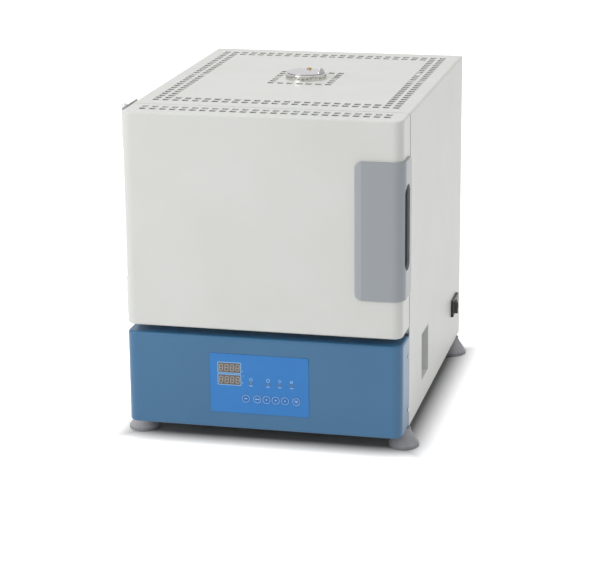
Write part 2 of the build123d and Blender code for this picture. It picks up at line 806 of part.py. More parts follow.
with BuildPart() as hinge_cabinet_leaves:
    for low in hinge_lows:
        middle = low + hinge_length / 2
        with BuildSketch(sideways(-side_x)):
            with Locations((hinge_y + (leaf_set + cabinet_leaf_reach) / 2, middle)):
                Rectangle(cabinet_leaf_reach - leaf_set, hinge_length)
            with Locations(
                (hinge_y + leaf_set / 2, low + knuckle / 2),
                (hinge_y + leaf_set / 2, low + hinge_length - knuckle / 2),
            ):
                Rectangle(leaf_set, knuckle)
        extrude(amount=-leaf_thickness)
        for knuckle_low in (low, low + hinge_length - knuckle):
            with BuildSketch(level(knuckle_low)):
                with Locations((hinge_x, hinge_y)):
                    Circle(knuckle_radius)
            extrude(amount=knuckle)
            with BuildSketch(level(knuckle_low)):
                with Locations((hinge_x, hinge_y)):
                    Circle(pin_radius + running_fit)
            extrude(amount=knuckle, mode=Mode.SUBTRACT)
hinge_cabinet_leaves.part.label = "hinge_cabinet_leaves"
export_step(hinge_cabinet_leaves.part, "parts/hinge_cabinet_leaves.step")

pin_head = 1.5
with BuildPart() as hinge_pins:
    for low in hinge_lows:
        with BuildSketch(level(low - 1)):
            with Locations((hinge_x, hinge_y)):
                Circle(pin_radius)
        extrude(amount=hinge_length + 1)
        with BuildSketch(level(low + hinge_length)):
            with Locations((hinge_x, hinge_y)):
                Circle(knuckle_radius)
        extrude(amount=pin_head, taper=25)
hinge_pins.part.label = "hinge_pins"
export_step(hinge_pins.part, "parts/hinge_pins.step")

# Catch magnets on the frame, opposite the hinges, which hold the door shut
magnet_x = side_x - 29
with BuildPart() as catch_magnets:
    with BuildSketch(upright(frame_y)):
        with Locations((magnet_x, door_bottom_z + 60), (magnet_x, top_z - 60)):
            Rectangle(12, 44)
    extrude(amount=frame_y - door_back_y - slip)
catch_magnets.part.label = "catch_magnets"
export_step(catch_magnets.part, "parts/catch_magnets.step")

# Front fascia: the blue folded panel below the door, with the window for the controls
fascia_back_y = seam_y - 0.5
fascia_return = 16.0
panel_z = base_z + panel_height_up
fascia_blank = rounded_front(body_width, corner_radius, front_y, fascia_back_y, base_z, fascia_top_z)
fascia_hollow = rounded_front(
    body_width - 2 * sheet,
    corner_radius - sheet,
    front_y + sheet,
    fascia_back_y,
    base_z + sheet,
    fascia_top_z - sheet,
)
side_screw_in = 31.5
side_screw_zs = (base_z + side_screw_in, fascia_top_z - side_screw_in)
side_screw_y = front_y + 55.0
with BuildPart() as front_fascia:
    add(fascia_blank.part)
    front_edges = front_fascia.faces().sort_by(Axis.Z)[-1].edges().sort_by(Axis.Y)[:-1]
    fillet(front_edges, edge_radius)
    front_edges = front_fascia.faces().sort_by(Axis.Z)[0].edges().sort_by(Axis.Y)[:-1]
    fillet(front_edges, edge_radius)
    add(fascia_hollow.part, mode=Mode.SUBTRACT)
    with BuildSketch(level(base_z)):
        with Locations((0, front_y + fascia_return + (front_depth + fascia_return) / 2)):
            Rectangle(2 * inside_x, front_depth + fascia_return)
    extrude(amount=sheet, mode=Mode.SUBTRACT)
    with BuildSketch(upright(front_y)):
        with Locations((panel_x, panel_z)):
            RectangleRounded(panel_width, panel_height, 3)
    extrude(amount=-2 * sheet, mode=Mode.SUBTRACT)
    for side in (-1, 1):
        with BuildSketch(sideways(side * side_x)):
            with Locations(*[(side_screw_y, z) for z in side_screw_zs]):
                Circle(screw_radius + slip)
        extrude(amount=-side * 2 * sheet, mode=Mode.SUBTRACT)
front_fascia.part.label = "front_fascia"
export_step(front_fascia.part, "parts/front_fascia.step")

# Fascia brackets: upright angles from the cabinet's sides that the fascia is screwed to
bracket_low = base_z + pan_lip + 2
bracket_high = divider_z - 14
with BuildPart() as fascia_brackets:
    for side in (-1, 1):
        with BuildSketch(level(bracket_low)):
            with Locations((side * (inside_x - sheet / 2), (front_y + 44 + seam_y + 30) / 2)):
                Rectangle(sheet, seam_y + 30 - front_y - 44)
            with Locations((side * (inside_x - 8), front_y + 44 + sheet / 2)):
                Rectangle(16, sheet)
        extrude(amount=bracket_high - bracket_low)
        with BuildSketch(sideways(side * inside_x)):
            with Locations(*[(side_screw_y, z) for z in side_screw_zs]):
                Circle(screw_radius + running_fit)
        extrude(amount=-side * sheet, mode=Mode.SUBTRACT)
fascia_brackets.part.label = "fascia_brackets"
export_step(fascia_brackets.part, "parts/fascia_brackets.step")

# Control panel: a plastic plate behind the fascia's window, its face raised into the window
plate_back_y = front_y + sheet + 2
panel_face_y = front_y - panel_proud
display_zs = (base_z + display_rise - display_pitch / 2, base_z + display_rise + display_pitch / 2)
key_z = base_z + key_rise
lamp_z = base_z + lamp_rise
with BuildPart() as control_panel:
    with BuildSketch(upright(plate_back_y)):
        with Locations((panel_x, panel_z)):
            RectangleRounded(panel_width + 2 * panel_flange, panel_height + 2 * panel_flange, 3)
    extrude(amount=plate_back_y - front_y - sheet)
    with BuildSketch(upright(front_y + sheet)):
        with Locations((panel_x, panel_z)):
            RectangleRounded(panel_width - 2 * slip, panel_height - 2 * slip, 3)
    extrude(amount=sheet + panel_proud)
    with BuildSketch(upright(plate_back_y)):
        with Locations(*[(display_x, z) for z in display_zs]):
            Rectangle(display_width - 3, display_height - 3)
        with Locations(*[(x, lamp_z) for x in lamp_places]):
            Circle(lamp_radius + running_fit)
        with Locations(*[(x, key_z) for x in key_places.values()]):
            Circle(key_radius + slip)
    extrude(amount=plate_back_y - panel_face_y, mode=Mode.SUBTRACT)
control_panel.part.label = "control_panel"
export_step(control_panel.part, "parts/control_panel.step")

# Keys: round tops with a collar behind the plate and a stem that reaches the board
board_y = front_y + board_setback
switch_tall = 5.0
for key_name, key_x in key_places.items():
    with BuildPart() as panel_key:
        with BuildSketch(upright(plate_back_y + slip)):
            with Locations((key_x, key_z)):
                Circle(key_radius)
        extrude(amount=plate_back_y + slip - panel_face_y + key_proud)
        fillet(panel_key.faces().sort_by(Axis.Y)[0].edges(), 0.4)
        with BuildSketch(upright(plate_back_y + slip)):
            with Locations((key_x, key_z)):
                Circle(key_radius + 0.45)
        extrude(amount=-1)
        with BuildSketch(upright(plate_back_y + slip + 1)):
            with Locations((key_x, key_z)):
                Circle(1.6)
        extrude(amount=-(board_y - switch_tall - key_travel - slip - plate_back_y - slip - 1))
    panel_key.part.label = key_name
    export_step(panel_key.part, f"parts/{key_name}.step")

# Displays: two light-emitting modules that stand on the board behind their windows
for display_name, display_z in zip(("lower_display", "upper_display"), display_zs):
    with BuildPart() as display:
        with BuildSketch(upright(board_y)):
            with Locations((display_x, display_z)):
                Rectangle(display_width, display_height)
        extrude(amount=board_y - plate_back_y)
        with BuildSketch(upright(plate_back_y)):
            with Locations((display_x, display_z)):
                Rectangle(display_width - 3 - 2 * slip, display_height - 3 - 2 * slip)
        extrude(amount=plate_back_y - panel_face_y - slip)
    display.part.label = display_name
    export_step(display.part, f"parts/{display_name}.step")

# Indicator lamps: four lenses in the plate, each on a post from the board
with BuildPart() as indicator_lamps:
    for lamp_x in lamp_places:
        with BuildSketch(upright(board_y)):
            with Locations((lamp_x, lamp_z)):
                Circle(lamp_radius)
        extrude(amount=board_y - panel_face_y + 0.3)
        with BuildSketch(upright(board_y)):
            with Locations((lamp_x, lamp_z)):
                Circle(lamp_radius + 0.8)
        extrude(amount=board_y - plate_back_y - slip)
indicator_lamps.part.label = "indicator_lamps"
export_step(indicator_lamps.part, "parts/indicator_lamps.step")

# Control board on four studs from the panel's plate, with a push switch behind each key
stud_x = panel_width / 2 - 2
stud_z = panel_height / 2 - 2
with BuildPart() as control_board:
    with BuildSketch(upright(board_y + board_thickness)):
        with Locations((panel_x, panel_z)):
            Rectangle(panel_width + 4, panel_height + 4)
    extrude(amount=board_thickness)
    with BuildSketch(upright(board_y)):
        with Locations(*[(x, key_z) for x in key_places.values()]):
            Rectangle(6, 6)
    extrude(amount=switch_tall)
    with BuildSketch(upright(board_y)):
        with Locations((panel_x, panel_z)):
            with GridLocations(2 * stud_x, 2 * stud_z, 2, 2):
                Circle(3)
    extrude(amount=board_y - plate_back_y)
    with BuildSketch(upright(board_y + board_thickness)):
        with Locations((panel_x + 40, panel_z - 20)):
            Rectangle(45, 16)
        with Locations((panel_x - 40, panel_z + 10)):
            Rectangle(30, 30)
    extrude(amount=-12)
control_board.part.label = "control_board"
export_step(control_board.part, "parts/control_board.step")

# Breaker recess: a moulded box let into the right side, open outwards
recess_wall = 1.5
recess_lip = 5.0
recess_floor_x = side_x - recess_depth
with BuildPart() as breaker_recess:
    with BuildSketch(sideways(side_x)):
        with Locations((recess_y, recess_z)):
            Rectangle(recess_width - 0.2, recess_height - 0.2)
    extrude(amount=-recess_depth - recess_wall)
    with BuildSketch(sideways(inside_x)):
        with Locations((recess_y, recess_z)):
            Rectangle(recess_width + 2 * recess_lip, recess_height + 2 * recess_lip)
    extrude(amount=-recess_wall)
    with BuildSketch(sideways(side_x)):
        with Locations((recess_y, recess_z)):
            Rectangle(recess_width - 2 * recess_wall, recess_height - 2 * recess_wall)
    extrude(amount=-recess_depth, mode=Mode.SUBTRACT)
    with BuildSketch(sideways(recess_floor_x)):
        with Locations((recess_y, recess_z)):
            Rectangle(breaker_width + 2 * slip, breaker_nose + 2 * slip)
    extrude(amount=-recess_wall, mode=Mode.SUBTRACT)
breaker_recess.part.label = "breaker_recess"
export_step(breaker_recess.part, "parts/breaker_recess.step")

# Circuit breaker: its nose fills the recess's window, its body stands in the bay
breaker_face_x = recess_floor_x + 2
breaker_body_x = recess_floor_x - recess_wall
toggle_radius = 8.0
toggle_width = 22.0
toggle_x = breaker_face_x - 3
with BuildPart() as circuit_breaker:
    with BuildSketch(sideways(breaker_body_x)):
        with Locations((recess_y, recess_z)):
            Rectangle(breaker_width, breaker_height)
    extrude(amount=-breaker_depth)
    with BuildSketch(sideways(breaker_body_x)):
        with Locations((recess_y, recess_z)):
            Rectangle(breaker_width, breaker_nose)
    extrude(amount=breaker_face_x - breaker_body_x)
    with BuildSketch(upright(recess_y + toggle_width / 2 + slip)):
        with Locations((toggle_x, recess_z)):
            Circle(toggle_radius + slip)
    extrude(amount=toggle_width + 2 * slip, mode=Mode.SUBTRACT)
    with BuildSketch(upright(recess_y + breaker_width / 2 - 1)):
        with Locations((toggle_x, recess_z)):
            Circle(1.6)
    extrude(amount=breaker_width - 2)
circuit_breaker.part.label = "circuit_breaker"
export_step(circuit_breaker.part, "parts/circuit_breaker.step")

# Breaker toggle: a drum on the breaker's cross pin, with its lever thrown up
toggle_throw = 35.0
toggle_reach = 19.0
with BuildPart() as breaker_toggle:
    with BuildSketch(upright(recess_y + toggle_width / 2)):
        with Locations((toggle_x, recess_z)):
            Circle(toggle_radius)
        with Locations(Location((toggle_x, recess_z), toggle_throw)):
            with Locations((toggle_reach / 2, 0)):
                Rectangle(toggle_reach, 5)
        with Locations((toggle_x, recess_z)):
            Circle(1.6 + running_fit, mode=Mode.SUBTRACT)
    extrude(amount=toggle_width)
breaker_toggle.part.label = "breaker_toggle"
export_step(breaker_toggle.part, "parts/breaker_toggle.step")

# Mains switch: a black bezel on the right side, its body behind the sheet
switch_wall = 3.0
well_width = switch_width - 2 * switch_wall - 4
well_height = switch_height - 2 * switch_wall - 3
rocker_gap = 0.5
switch_deep = 24.0
pivot_x = side_x - 3.0
with BuildPart() as mains_switch:
    with BuildSketch(sideways(side_x)):
        with Locations((switch_y, switch_z)):
            Rectangle(switch_width, switch_height)
    extrude(amount=switch_proud)
    outer_rim = mains_switch.faces().sort_by(Axis.X)[-1].edges()
    chamfer(outer_rim, 1.2)
    with BuildSketch(sideways(side_x)):
        with Locations((switch_y, switch_z)):
            Rectangle(switch_width - 2 * switch_rim - 0.4, switch_height - 2 * switch_rim - 0.4)
    extrude(amount=-switch_deep)
    with BuildSketch(sideways(side_x + switch_proud)):
        with Locations((switch_y, switch_z)):
            Rectangle(well_width, well_height)
    extrude(amount=-switch_proud - 14, mode=Mode.SUBTRACT)
    with BuildSketch(level(switch_z - well_height / 2 - 1)):
        with Locations((pivot_x, switch_y)):
            Circle(1.5)
    extrude(amount=well_height + 2)
mains_switch.part.label = "mains_switch"
export_step(mains_switch.part, "parts/mains_switch.step")

# Rocker: a shallow vee on the cross pin, at rest with its rear half pressed in
rocker_half = well_width / 2 - 2.2
rocker_face = side_x + switch_proud + 0.5 - pivot_x
with BuildPart() as switch_rocker:
    tilted = Plane(
        origin=(pivot_x, switch_y, switch_z - well_height / 2 + rocker_gap),
        x_dir=(cos(radians(rocker_tilt)), sin(radians(rocker_tilt)), 0),
        z_dir=(0, 0, 1),
    )
    with BuildSketch(tilted):
        with BuildLine():
            Polyline(
                (-4, -6),
                (rocker_face - 6, -rocker_half),
                (rocker_face + rocker_half * tan(radians(rocker_tilt)), -rocker_half),
                (rocker_face, 0),
                (rocker_face + rocker_half * tan(radians(rocker_tilt)), rocker_half),
                (rocker_face - 6, rocker_half),
                (-4, 6),
                close=True,
            )
        make_face()
        Circle(1.5 + running_fit, mode=Mode.SUBTRACT)
    extrude(amount=well_height - 2 * rocker_gap)
switch_rocker.part.label = "switch_rocker"
export_step(switch_rocker.part, "parts/switch_rocker.step")

# Rear panel: a sheet on the cabinet's flanges, with louvre slots, the fan's grille and the gland's hole
fan_z = base_z + fan_rise
gland_z = base_z + gland_rise
rear_low_z = base_z + sheet
rear_high_z = top_z - sheet
gland_thread = 9.0
grille_rings = (37.0, 29.0, 21.0, 13.0)
grille_slot = 5.0
louvre_columns = 3
louvre_rows = 11
louvre_pitch_x = 110.0
louvre_pitch_z = 15.0
louvre_z = case_top_z - 90
with BuildPart() as rear_panel:
    with BuildSketch(upright(rear_y)) as rear_outline:
        with Locations((0, (rear_low_z + rear_high_z) / 2)):
            Rectangle(2 * (inside_x - slip), rear_high_z - rear_low_z - 2 * slip)
        fillet(rear_outline.vertices().group_by(Axis.Y)[-1], fold_radius)
    extrude(amount=sheet)
    with BuildSketch(upright(rear_y)):
        with Locations((0, louvre_z)):
            with GridLocations(louvre_pitch_x, louvre_pitch_z, louvre_columns, louvre_rows):
                SlotOverall(louvre_pitch_x - 30, grille_slot)
        with Locations((gland_x, gland_z)):
            Circle(gland_thread + slip)
        with Locations(*rear_screw_points):
            Circle(screw_radius + slip)
    extrude(amount=sheet, mode=Mode.SUBTRACT)
    with BuildSketch(upright(rear_y)):
        with Locations((fan_x, fan_z)):
            for ring in grille_rings:
                Circle(ring + grille_slot / 2)
                Circle(ring - grille_slot / 2, mode=Mode.SUBTRACT)
            Rectangle(2 * fan_size, 4, mode=Mode.SUBTRACT)
            Rectangle(4, 2 * fan_size, mode=Mode.SUBTRACT)
    extrude(amount=sheet, mode=Mode.SUBTRACT)
rear_panel.part.label = "rear_panel"
export_step(rear_panel.part, "parts/rear_panel.step")

# Case screws: pan heads through the fascia's sides and through the rear panel's edges
head_radius_out = 3.6
head_height = 2.0
screw_length = 8.0
with BuildPart() as case_screws:
    for side in (-1, 1):
        for z in side_screw_zs:
            with BuildSketch(sideways(side * (side_x - screw_length))):
                with Locations((side_screw_y, z)):
                    Circle(screw_radius)
            extrude(amount=side * screw_length)
            with BuildSketch(sideways(side * side_x)):
                with Locations((side_screw_y, z)):
                    Circle(head_radius_out)
            extrude(amount=side * head_height, taper=20)
    for x, z in rear_screw_points:
        with BuildSketch(upright(rear_y)):
            with Locations((x, z)):
                Circle(screw_radius)
        extrude(amount=screw_length)
        with BuildSketch(upright(rear_y)):
            with Locations((x, z)):
                Circle(head_radius_out)
        extrude(amount=-head_height, taper=20)
case_screws.part.label = "case_screws"
export_step(case_screws.part, "parts/case_screws.step")

# Cable gland: hexagon and dome outside the rear panel, thread and lock nut inside
with BuildPart() as cable_gland:
    with BuildSketch(upright(rear_y + gland_reach)):
        with Locations((gland_x, gland_z)):
            Circle(gland_thread)
    extrude(amount=gland_reach + sheet + 10)
    with BuildSketch(upright(rear_y + 7)):
        with Locations((gland_x, gland_z)):
            RegularPolygon(12, 6, major_radius=False)
    extrude(amount=7)
    with BuildSketch(upright(rear_y + gland_reach - 1)):
        with Locations((gland_x, gland_z)):
            Circle(11)
    extrude(amount=gland_reach - 1 - 7)
    with BuildSketch(upright(rear_y - sheet)):
        with Locations((gland_x, gland_z)):
            RegularPolygon(12, 6, major_radius=False)
    extrude(amount=5)
    with BuildSketch(upright(rear_y + gland_reach)):
        with Locations((gland_x, gland_z)):
            Circle(gland_bore)
    extrude(amount=gland_reach + sheet + 10, mode=Mode.SUBTRACT)
cable_gland.part.label = "cable_gland"
export_step(cable_gland.part, "parts/cable_gland.step")

# Cooling fan: a square frame on the rear panel, with the bearing tube on four arms
fan_hub = 17.0
fan_bore = fan_size / 2 - 3
tip_gap = 1.2
fan_front_y = rear_y - sheet - fan_depth
shaft_radius = 2.0
with BuildPart() as fan_frame:
    with BuildSketch(upright(rear_y - sheet)):
        with Locations((fan_x, fan_z)):
            RectangleRounded(fan_size, fan_size, 5)
            Circle(fan_bore, mode=Mode.SUBTRACT)
    extrude(amount=fan_depth)
    with BuildSketch(upright(fan_front_y + 4)):
        with Locations((fan_x, fan_z)):
            Circle(fan_hub)
            Rectangle(2 * fan_bore + 2, 5)
            Rectangle(5, 2 * fan_bore + 2)
    extrude(amount=4)
    with BuildSketch(upright(fan_front_y + 16)):
        with Locations((fan_x, fan_z)):
            Circle(5)
    extrude(amount=12)
    with BuildSketch(upright(fan_front_y + 16)):
        with Locations((fan_x, fan_z)):
            Circle(shaft_radius + running_fit)
    extrude(amount=14, mode=Mode.SUBTRACT)
fan_frame.part.label = "fan_frame"
export_step(fan_frame.part, "parts/fan_frame.step")

# Fan rotor: a cup on the shaft with pitched blades
rotor_front_y = fan_front_y + 5
rotor_back_y = rear_y - sheet - 2
with BuildPart() as fan_rotor:
    with BuildSketch(upright(rotor_back_y)):
        with Locations((fan_x, fan_z)):
            Circle(fan_hub)
    extrude(amount=rotor_back_y - rotor_front_y)
    with BuildSketch(upright(rotor_back_y - 3)):
        with Locations((fan_x, fan_z)):
            Circle(fan_hub - 2)
    extrude(amount=rotor_back_y - 3 - rotor_front_y, mode=Mode.SUBTRACT)
    with BuildSketch(upright(rotor_back_y)):
        with Locations((fan_x, fan_z)):
            Circle(shaft_radius)
    extrude(amount=rotor_back_y - fan_front_y - 5)
    for blade in range(blade_count):
        angle = blade * 360 / blade_count
        blade_plane = Plane(
            origin=(fan_x, (rotor_front_y + rotor_back_y) / 2, fan_z),
            x_dir=(sin(radians(angle)), 0, -cos(radians(angle))),
            z_dir=(cos(radians(angle)), 0, sin(radians(angle))),
        )
        with BuildSketch(blade_plane.offset(fan_hub - 1)):
            with Locations(Location((0, 0), 40)):
                Rectangle(2, 18)
        extrude(amount=fan_bore - tip_gap - fan_hub + 1)
fan_rotor.part.label = "fan_rotor"
export_step(fan_rotor.part, "parts/fan_rotor.step")

# Heat sink with the solid-state relay that switches the elements, on the base pan
sink_width = 90.0
sink_depth = 110.0
sink_height = 40.0
sink_x = 12.0 - chamber_width / 2
sink_y = vent_y + 60
fin_count = 9
fin = 3.0
sink_base_z = base_z + sheet
relay_z = sink_base_z + sink_height
with BuildPart() as heat_sink:
    with BuildSketch(upright(sink_y + sink_depth / 2)):
        with Locations((sink_x, sink_base_z + fin), (sink_x, relay_z - fin)):
            Rectangle(sink_width, 2 * fin)
        with Locations((sink_x, sink_base_z + sink_height / 2)):
            with GridLocations((sink_width - fin) / (fin_count - 1), 1, fin_count, 1):
                Rectangle(fin, sink_height)
    extrude(amount=sink_depth)
heat_sink.part.label = "heat_sink"
export_step(heat_sink.part, "parts/heat_sink.step")

relay_clamp_x = 24.0
relay_clamp_y = 50.0
clamp_floor = 10.0
with BuildPart() as solid_state_relay:
    with BuildSketch(level(relay_z)):
        with Locations((sink_x, sink_y)):
            Rectangle(45, 62)
    extrude(amount=22)
    with BuildSketch(level(relay_z + clamp_floor)):
        with Locations((sink_x, sink_y)):
            with GridLocations(relay_clamp_x, relay_clamp_y, 2, 2):
                Rectangle(13, 12)
    extrude(amount=22 - clamp_floor, mode=Mode.SUBTRACT)
solid_state_relay.part.label = "solid_state_relay"
export_step(solid_state_relay.part, "parts/solid_state_relay.step")

# Terminal block on the pan, in front of the gland, where the mains cable's cores end
clamp_pitch = 15.0
clamp_rows = 18.0
block_width = 80.0
block_depth = 30.0
block_height = 22.0
lead_y = case_back_y + 34
block_y = lead_y + clamp_rows / 2
with BuildPart() as terminal_block:
    with BuildSketch(level(sink_base_z)):
        with Locations((gland_x, block_y)):
            Rectangle(block_width, block_depth)
    extrude(amount=block_height)
    with BuildSketch(level(sink_base_z + clamp_floor)):
        with Locations((gland_x, block_y)):
            with GridLocations(clamp_pitch, clamp_rows, 5, 2):
                Rectangle(clamp_pitch - 4, clamp_rows - 10)
    extrude(amount=block_height - clamp_floor, mode=Mode.SUBTRACT)
terminal_block.part.label = "terminal_block"
export_step(terminal_block.part, "parts/terminal_block.step")

# Wiring: sleeved leads between the bay's devices, the elements' ends and the control board
power_lead = 2.5
signal_lead = 1.5
bend = 6.0
low_end_z, high_end_z = element_zs
block_z = sink_base_z + clamp_floor
relay_clamp_z = relay_z + clamp_floor
relay_left_x = sink_x - relay_clamp_x / 2
relay_right_x = sink_x + relay_clamp_x / 2
relay_front_y = sink_y - relay_clamp_y / 2
relay_rear_y = sink_y + relay_clamp_y / 2
tail_y = case_back_y + 22
drop_y = case_back_y + 46
board_back_y = board_y + board_thickness
switch_end_x = side_x - switch_deep
breaker_top_z = recess_z + breaker_height / 2
half_chamber = chamber_width / 2
board_lead_z = panel_z + 10
board_lead_x = panel_x - 70
link_z = divider_z - 36
loop_z = divider_z - 24
relay_run_z = divider_z - 18
return_z = divider_z - 11
probe_run_z = divider_z - 5
switch_lead_x = side_x - 49
breaker_lead_x = side_x - 38
breaker_out_x = breaker_body_x - 40
breaker_lead_y = lead_y + 14
front_run_y = front_y + 60
lead_runs = [
    (power_lead, [
        (gland_x + 2 * clamp_pitch, lead_y, block_z),
        (gland_x + 2 * clamp_pitch, lead_y, link_z),
        (switch_lead_x, lead_y, link_z),
        (switch_lead_x, lead_y, switch_z),
        (switch_end_x, lead_y, switch_z),
    ]),
    (power_lead, [
        (switch_end_x, breaker_lead_y, switch_z),
        (breaker_lead_x, breaker_lead_y, switch_z),
        (breaker_lead_x, breaker_lead_y, loop_z),
        (breaker_lead_x, recess_y, loop_z),
        (breaker_lead_x, recess_y, breaker_top_z),
    ]),
    (power_lead, [
        (breaker_out_x, recess_y, breaker_top_z),
        (breaker_out_x, recess_y, relay_run_z),
        (breaker_out_x, relay_front_y, relay_run_z),
        (relay_right_x, relay_front_y, relay_run_z),
        (relay_right_x, relay_front_y, relay_clamp_z),
    ]),
    (power_lead, [
        (relay_left_x, relay_rear_y, relay_clamp_z),
        (relay_left_x, relay_rear_y, relay_run_z),
        (relay_left_x, drop_y, relay_run_z),
        (relay_left_x, drop_y, low_end_z),
        (relay_left_x, tail_y, low_end_z),
    ]),
    (power_lead, [
        (-half_chamber, tail_y, high_end_z),
        (-half_chamber, lead_y, high_end_z),
        (half_chamber, lead_y, high_end_z),
        (half_chamber, tail_y, high_end_z),
    ]),
    (power_lead, [
        (half_chamber, tail_y, low_end_z),
        (half_chamber, lead_y, low_end_z),
        (half_chamber, lead_y, return_z),
        (gland_x + clamp_pitch, lead_y, return_z),
        (gland_x + clamp_pitch, lead_y, block_z),
    ]),
    (signal_lead, [
        (0, case_back_y + sheet + head_length, probe_z),
        (0, drop_y + 4, probe_z),
        (0, drop_y + 4, probe_run_z),
        (0, throat_y + 30, probe_run_z),
        (0, throat_y + 30, loop_z),
        (0, front_run_y, loop_z),
        (0, front_run_y, board_lead_z),
        (0, board_back_y, board_lead_z),
    ]),
    (signal_lead, [
        (relay_left_x, relay_front_y, relay_clamp_z),
        (relay_left_x, relay_front_y, link_z),
        (relay_left_x, front_run_y, link_z),
        (relay_left_x, front_run_y, board_lead_z),
        (board_lead_x, front_run_y, board_lead_z),
        (board_lead_x, board_back_y, board_lead_z),
    ]),
]
with BuildPart() as wiring:
    for lead_radius, points in lead_runs:
        with BuildLine() as run:
            FilletPolyline(*points, radius=bend)
        start = Vector(*points[0])
        with BuildSketch(Plane(origin=start, z_dir=Vector(*points[1]) - start)):
            Circle(lead_radius)
        sweep(path=run.wire())
wiring.part.label = "wiring"
export_step(wiring.part, "parts/wiring.step")
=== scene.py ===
import bmesh
import bpy
from math import cos, pi, radians, sin
from mathutils import Matrix, Vector


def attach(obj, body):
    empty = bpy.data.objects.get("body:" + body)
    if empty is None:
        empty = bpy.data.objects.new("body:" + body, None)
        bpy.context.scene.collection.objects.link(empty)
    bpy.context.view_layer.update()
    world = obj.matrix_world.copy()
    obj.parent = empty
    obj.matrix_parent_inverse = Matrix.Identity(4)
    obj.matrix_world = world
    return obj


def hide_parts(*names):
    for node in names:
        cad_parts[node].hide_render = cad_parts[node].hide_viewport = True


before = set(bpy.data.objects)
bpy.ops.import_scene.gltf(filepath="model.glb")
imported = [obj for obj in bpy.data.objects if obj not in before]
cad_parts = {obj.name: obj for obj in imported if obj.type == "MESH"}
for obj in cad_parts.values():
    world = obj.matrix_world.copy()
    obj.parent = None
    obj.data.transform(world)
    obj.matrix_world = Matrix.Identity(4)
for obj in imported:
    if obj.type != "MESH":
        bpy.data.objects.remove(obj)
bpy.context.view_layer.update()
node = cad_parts
scene = bpy.context.scene
mm = 0.001


# The camera: a long lens from the right and a little above, held very slightly off
# level, looking at the middle of the furnace.
def put(name, data):
    """New object of that name in the scene."""
    made = bpy.data.objects.new(name, data)
    scene.collection.objects.link(made)
    return made


azimuth, elevation, roll = (radians(angle) for angle in (13.258, 15.913, -0.539))
aim = Vector((-0.00506, -0.055, 0.21141))
distance, focal_length = 3.56785, 128.95
back = Vector((sin(azimuth) * cos(elevation), -cos(azimuth) * cos(elevation), sin(elevation)))
across = Vector((0, 0, 1)).cross(back).normalized()
turn = Matrix.Rotation(roll, 3, back)
axes = Matrix((turn @ across, turn @ back.cross(across), back)).transposed()
lens = bpy.data.cameras.new("camera")
lens.lens = focal_length
lens.sensor_width = 36.0
lens.clip_end = 60.0
camera = put("camera", lens)
camera.matrix_world = Matrix.Translation(aim + distance * back) @ axes.to_4x4()
scene.camera = camera
scene.view_settings.view_transform = "Standard"


# The studio: a pale seamless floor under a white tent that dims towards the horizon,
# with softboxes overhead, in front at the left and at the right. The floor keeps the
# shadow near the furnace, deepened by a painted shadow, a grey patch on the floor
# beneath it, and turns pure white further out.
def srgb(code):
    """Colour of a paint chart, as #RRGGBB, turned to the linear light that Blender counts in."""
    parts = [int(code[place:place + 2], 16) / 255 for place in (1, 3, 5)]
    return (*(p / 12.92 if p <= 0.04045 else ((p + 0.055) / 1.055) ** 2.4 for p in parts), 1.0)


def add(tree, kind, links=None, **settings):
    """Adds a node: its settings, then each input's plain value, or the socket or node that feeds it."""
    made = tree.nodes.new(kind)
    for name, value in settings.items():
        setattr(made, name, value)
    for name, value in (links or {}).items():
        if isinstance(value, bpy.types.Node):
            value = value.outputs[0]
        if isinstance(value, bpy.types.NodeSocket):
            tree.links.new(value, made.inputs[name])
        else:
            made.inputs[name].default_value = value
    return made


def looked_at(tree):
    """1 for rays that see a thing, straight, mirrored or through glass, and 0 for those that light others."""
    ray = add(tree, "ShaderNodeLightPath").outputs
    seen = add(tree, "ShaderNodeMath", {0: ray["Is Camera Ray"], 1: ray["Is Glossy Ray"]})
    return add(tree, "ShaderNodeMath", {0: seen, 1: ray["Is Transmission Ray"]}, use_clamp=True)


world = bpy.data.worlds.new("white_tent")
world.use_nodes = True
scene.world = world
sky = world.node_tree
sky.nodes.clear()
low_sky, high_sky, at_horizon, overhead = 0.05, 0.55, 0.10, 0.66
way = add(sky, "ShaderNodeTexCoord").outputs["Generated"]
up = add(sky, "ShaderNodeSeparateXYZ", {0: way}).outputs["Z"]
strength = add(sky, "ShaderNodeMapRange", {0: up, 1: low_sky, 2: high_sky, 3: at_horizon, 4: overhead})
tent = add(sky, "ShaderNodeBackground", {"Color": srgb("#FFFFFF"), "Strength": strength})
white = add(sky, "ShaderNodeBackground", {"Color": srgb("#FFFFFF"), "Strength": 1.0})
both = add(sky, "ShaderNodeMixShader", {0: looked_at(sky), 1: tent, 2: white})
add(sky, "ShaderNodeOutputWorld", {0: both})


def softbox(name, place, aim_at, side, power):
    """Square lamp with the given side in metres, turned to face a point."""
    light = bpy.data.lights.new(name, "AREA")
    light.shape = "SQUARE"
    light.size = side
    light.energy = power
    box = put(name, light)
    box.location = place
    box.rotation_euler = (Vector(place) - Vector(aim_at)).to_track_quat("Z", "Y").to_euler()


softbox("softbox_overhead", (-0.3, 0.1, 2.9), (0, 0, 0.3), 2.2, 13.0)
softbox("softbox_front_left", (-2.1, -2.5, 1.7), (0, -0.2, 0.3), 1.8, 45.0)
softbox("softbox_right", (2.3, -0.5, 2.0), (0.2, 0, 0.3), 1.4, 4.0)

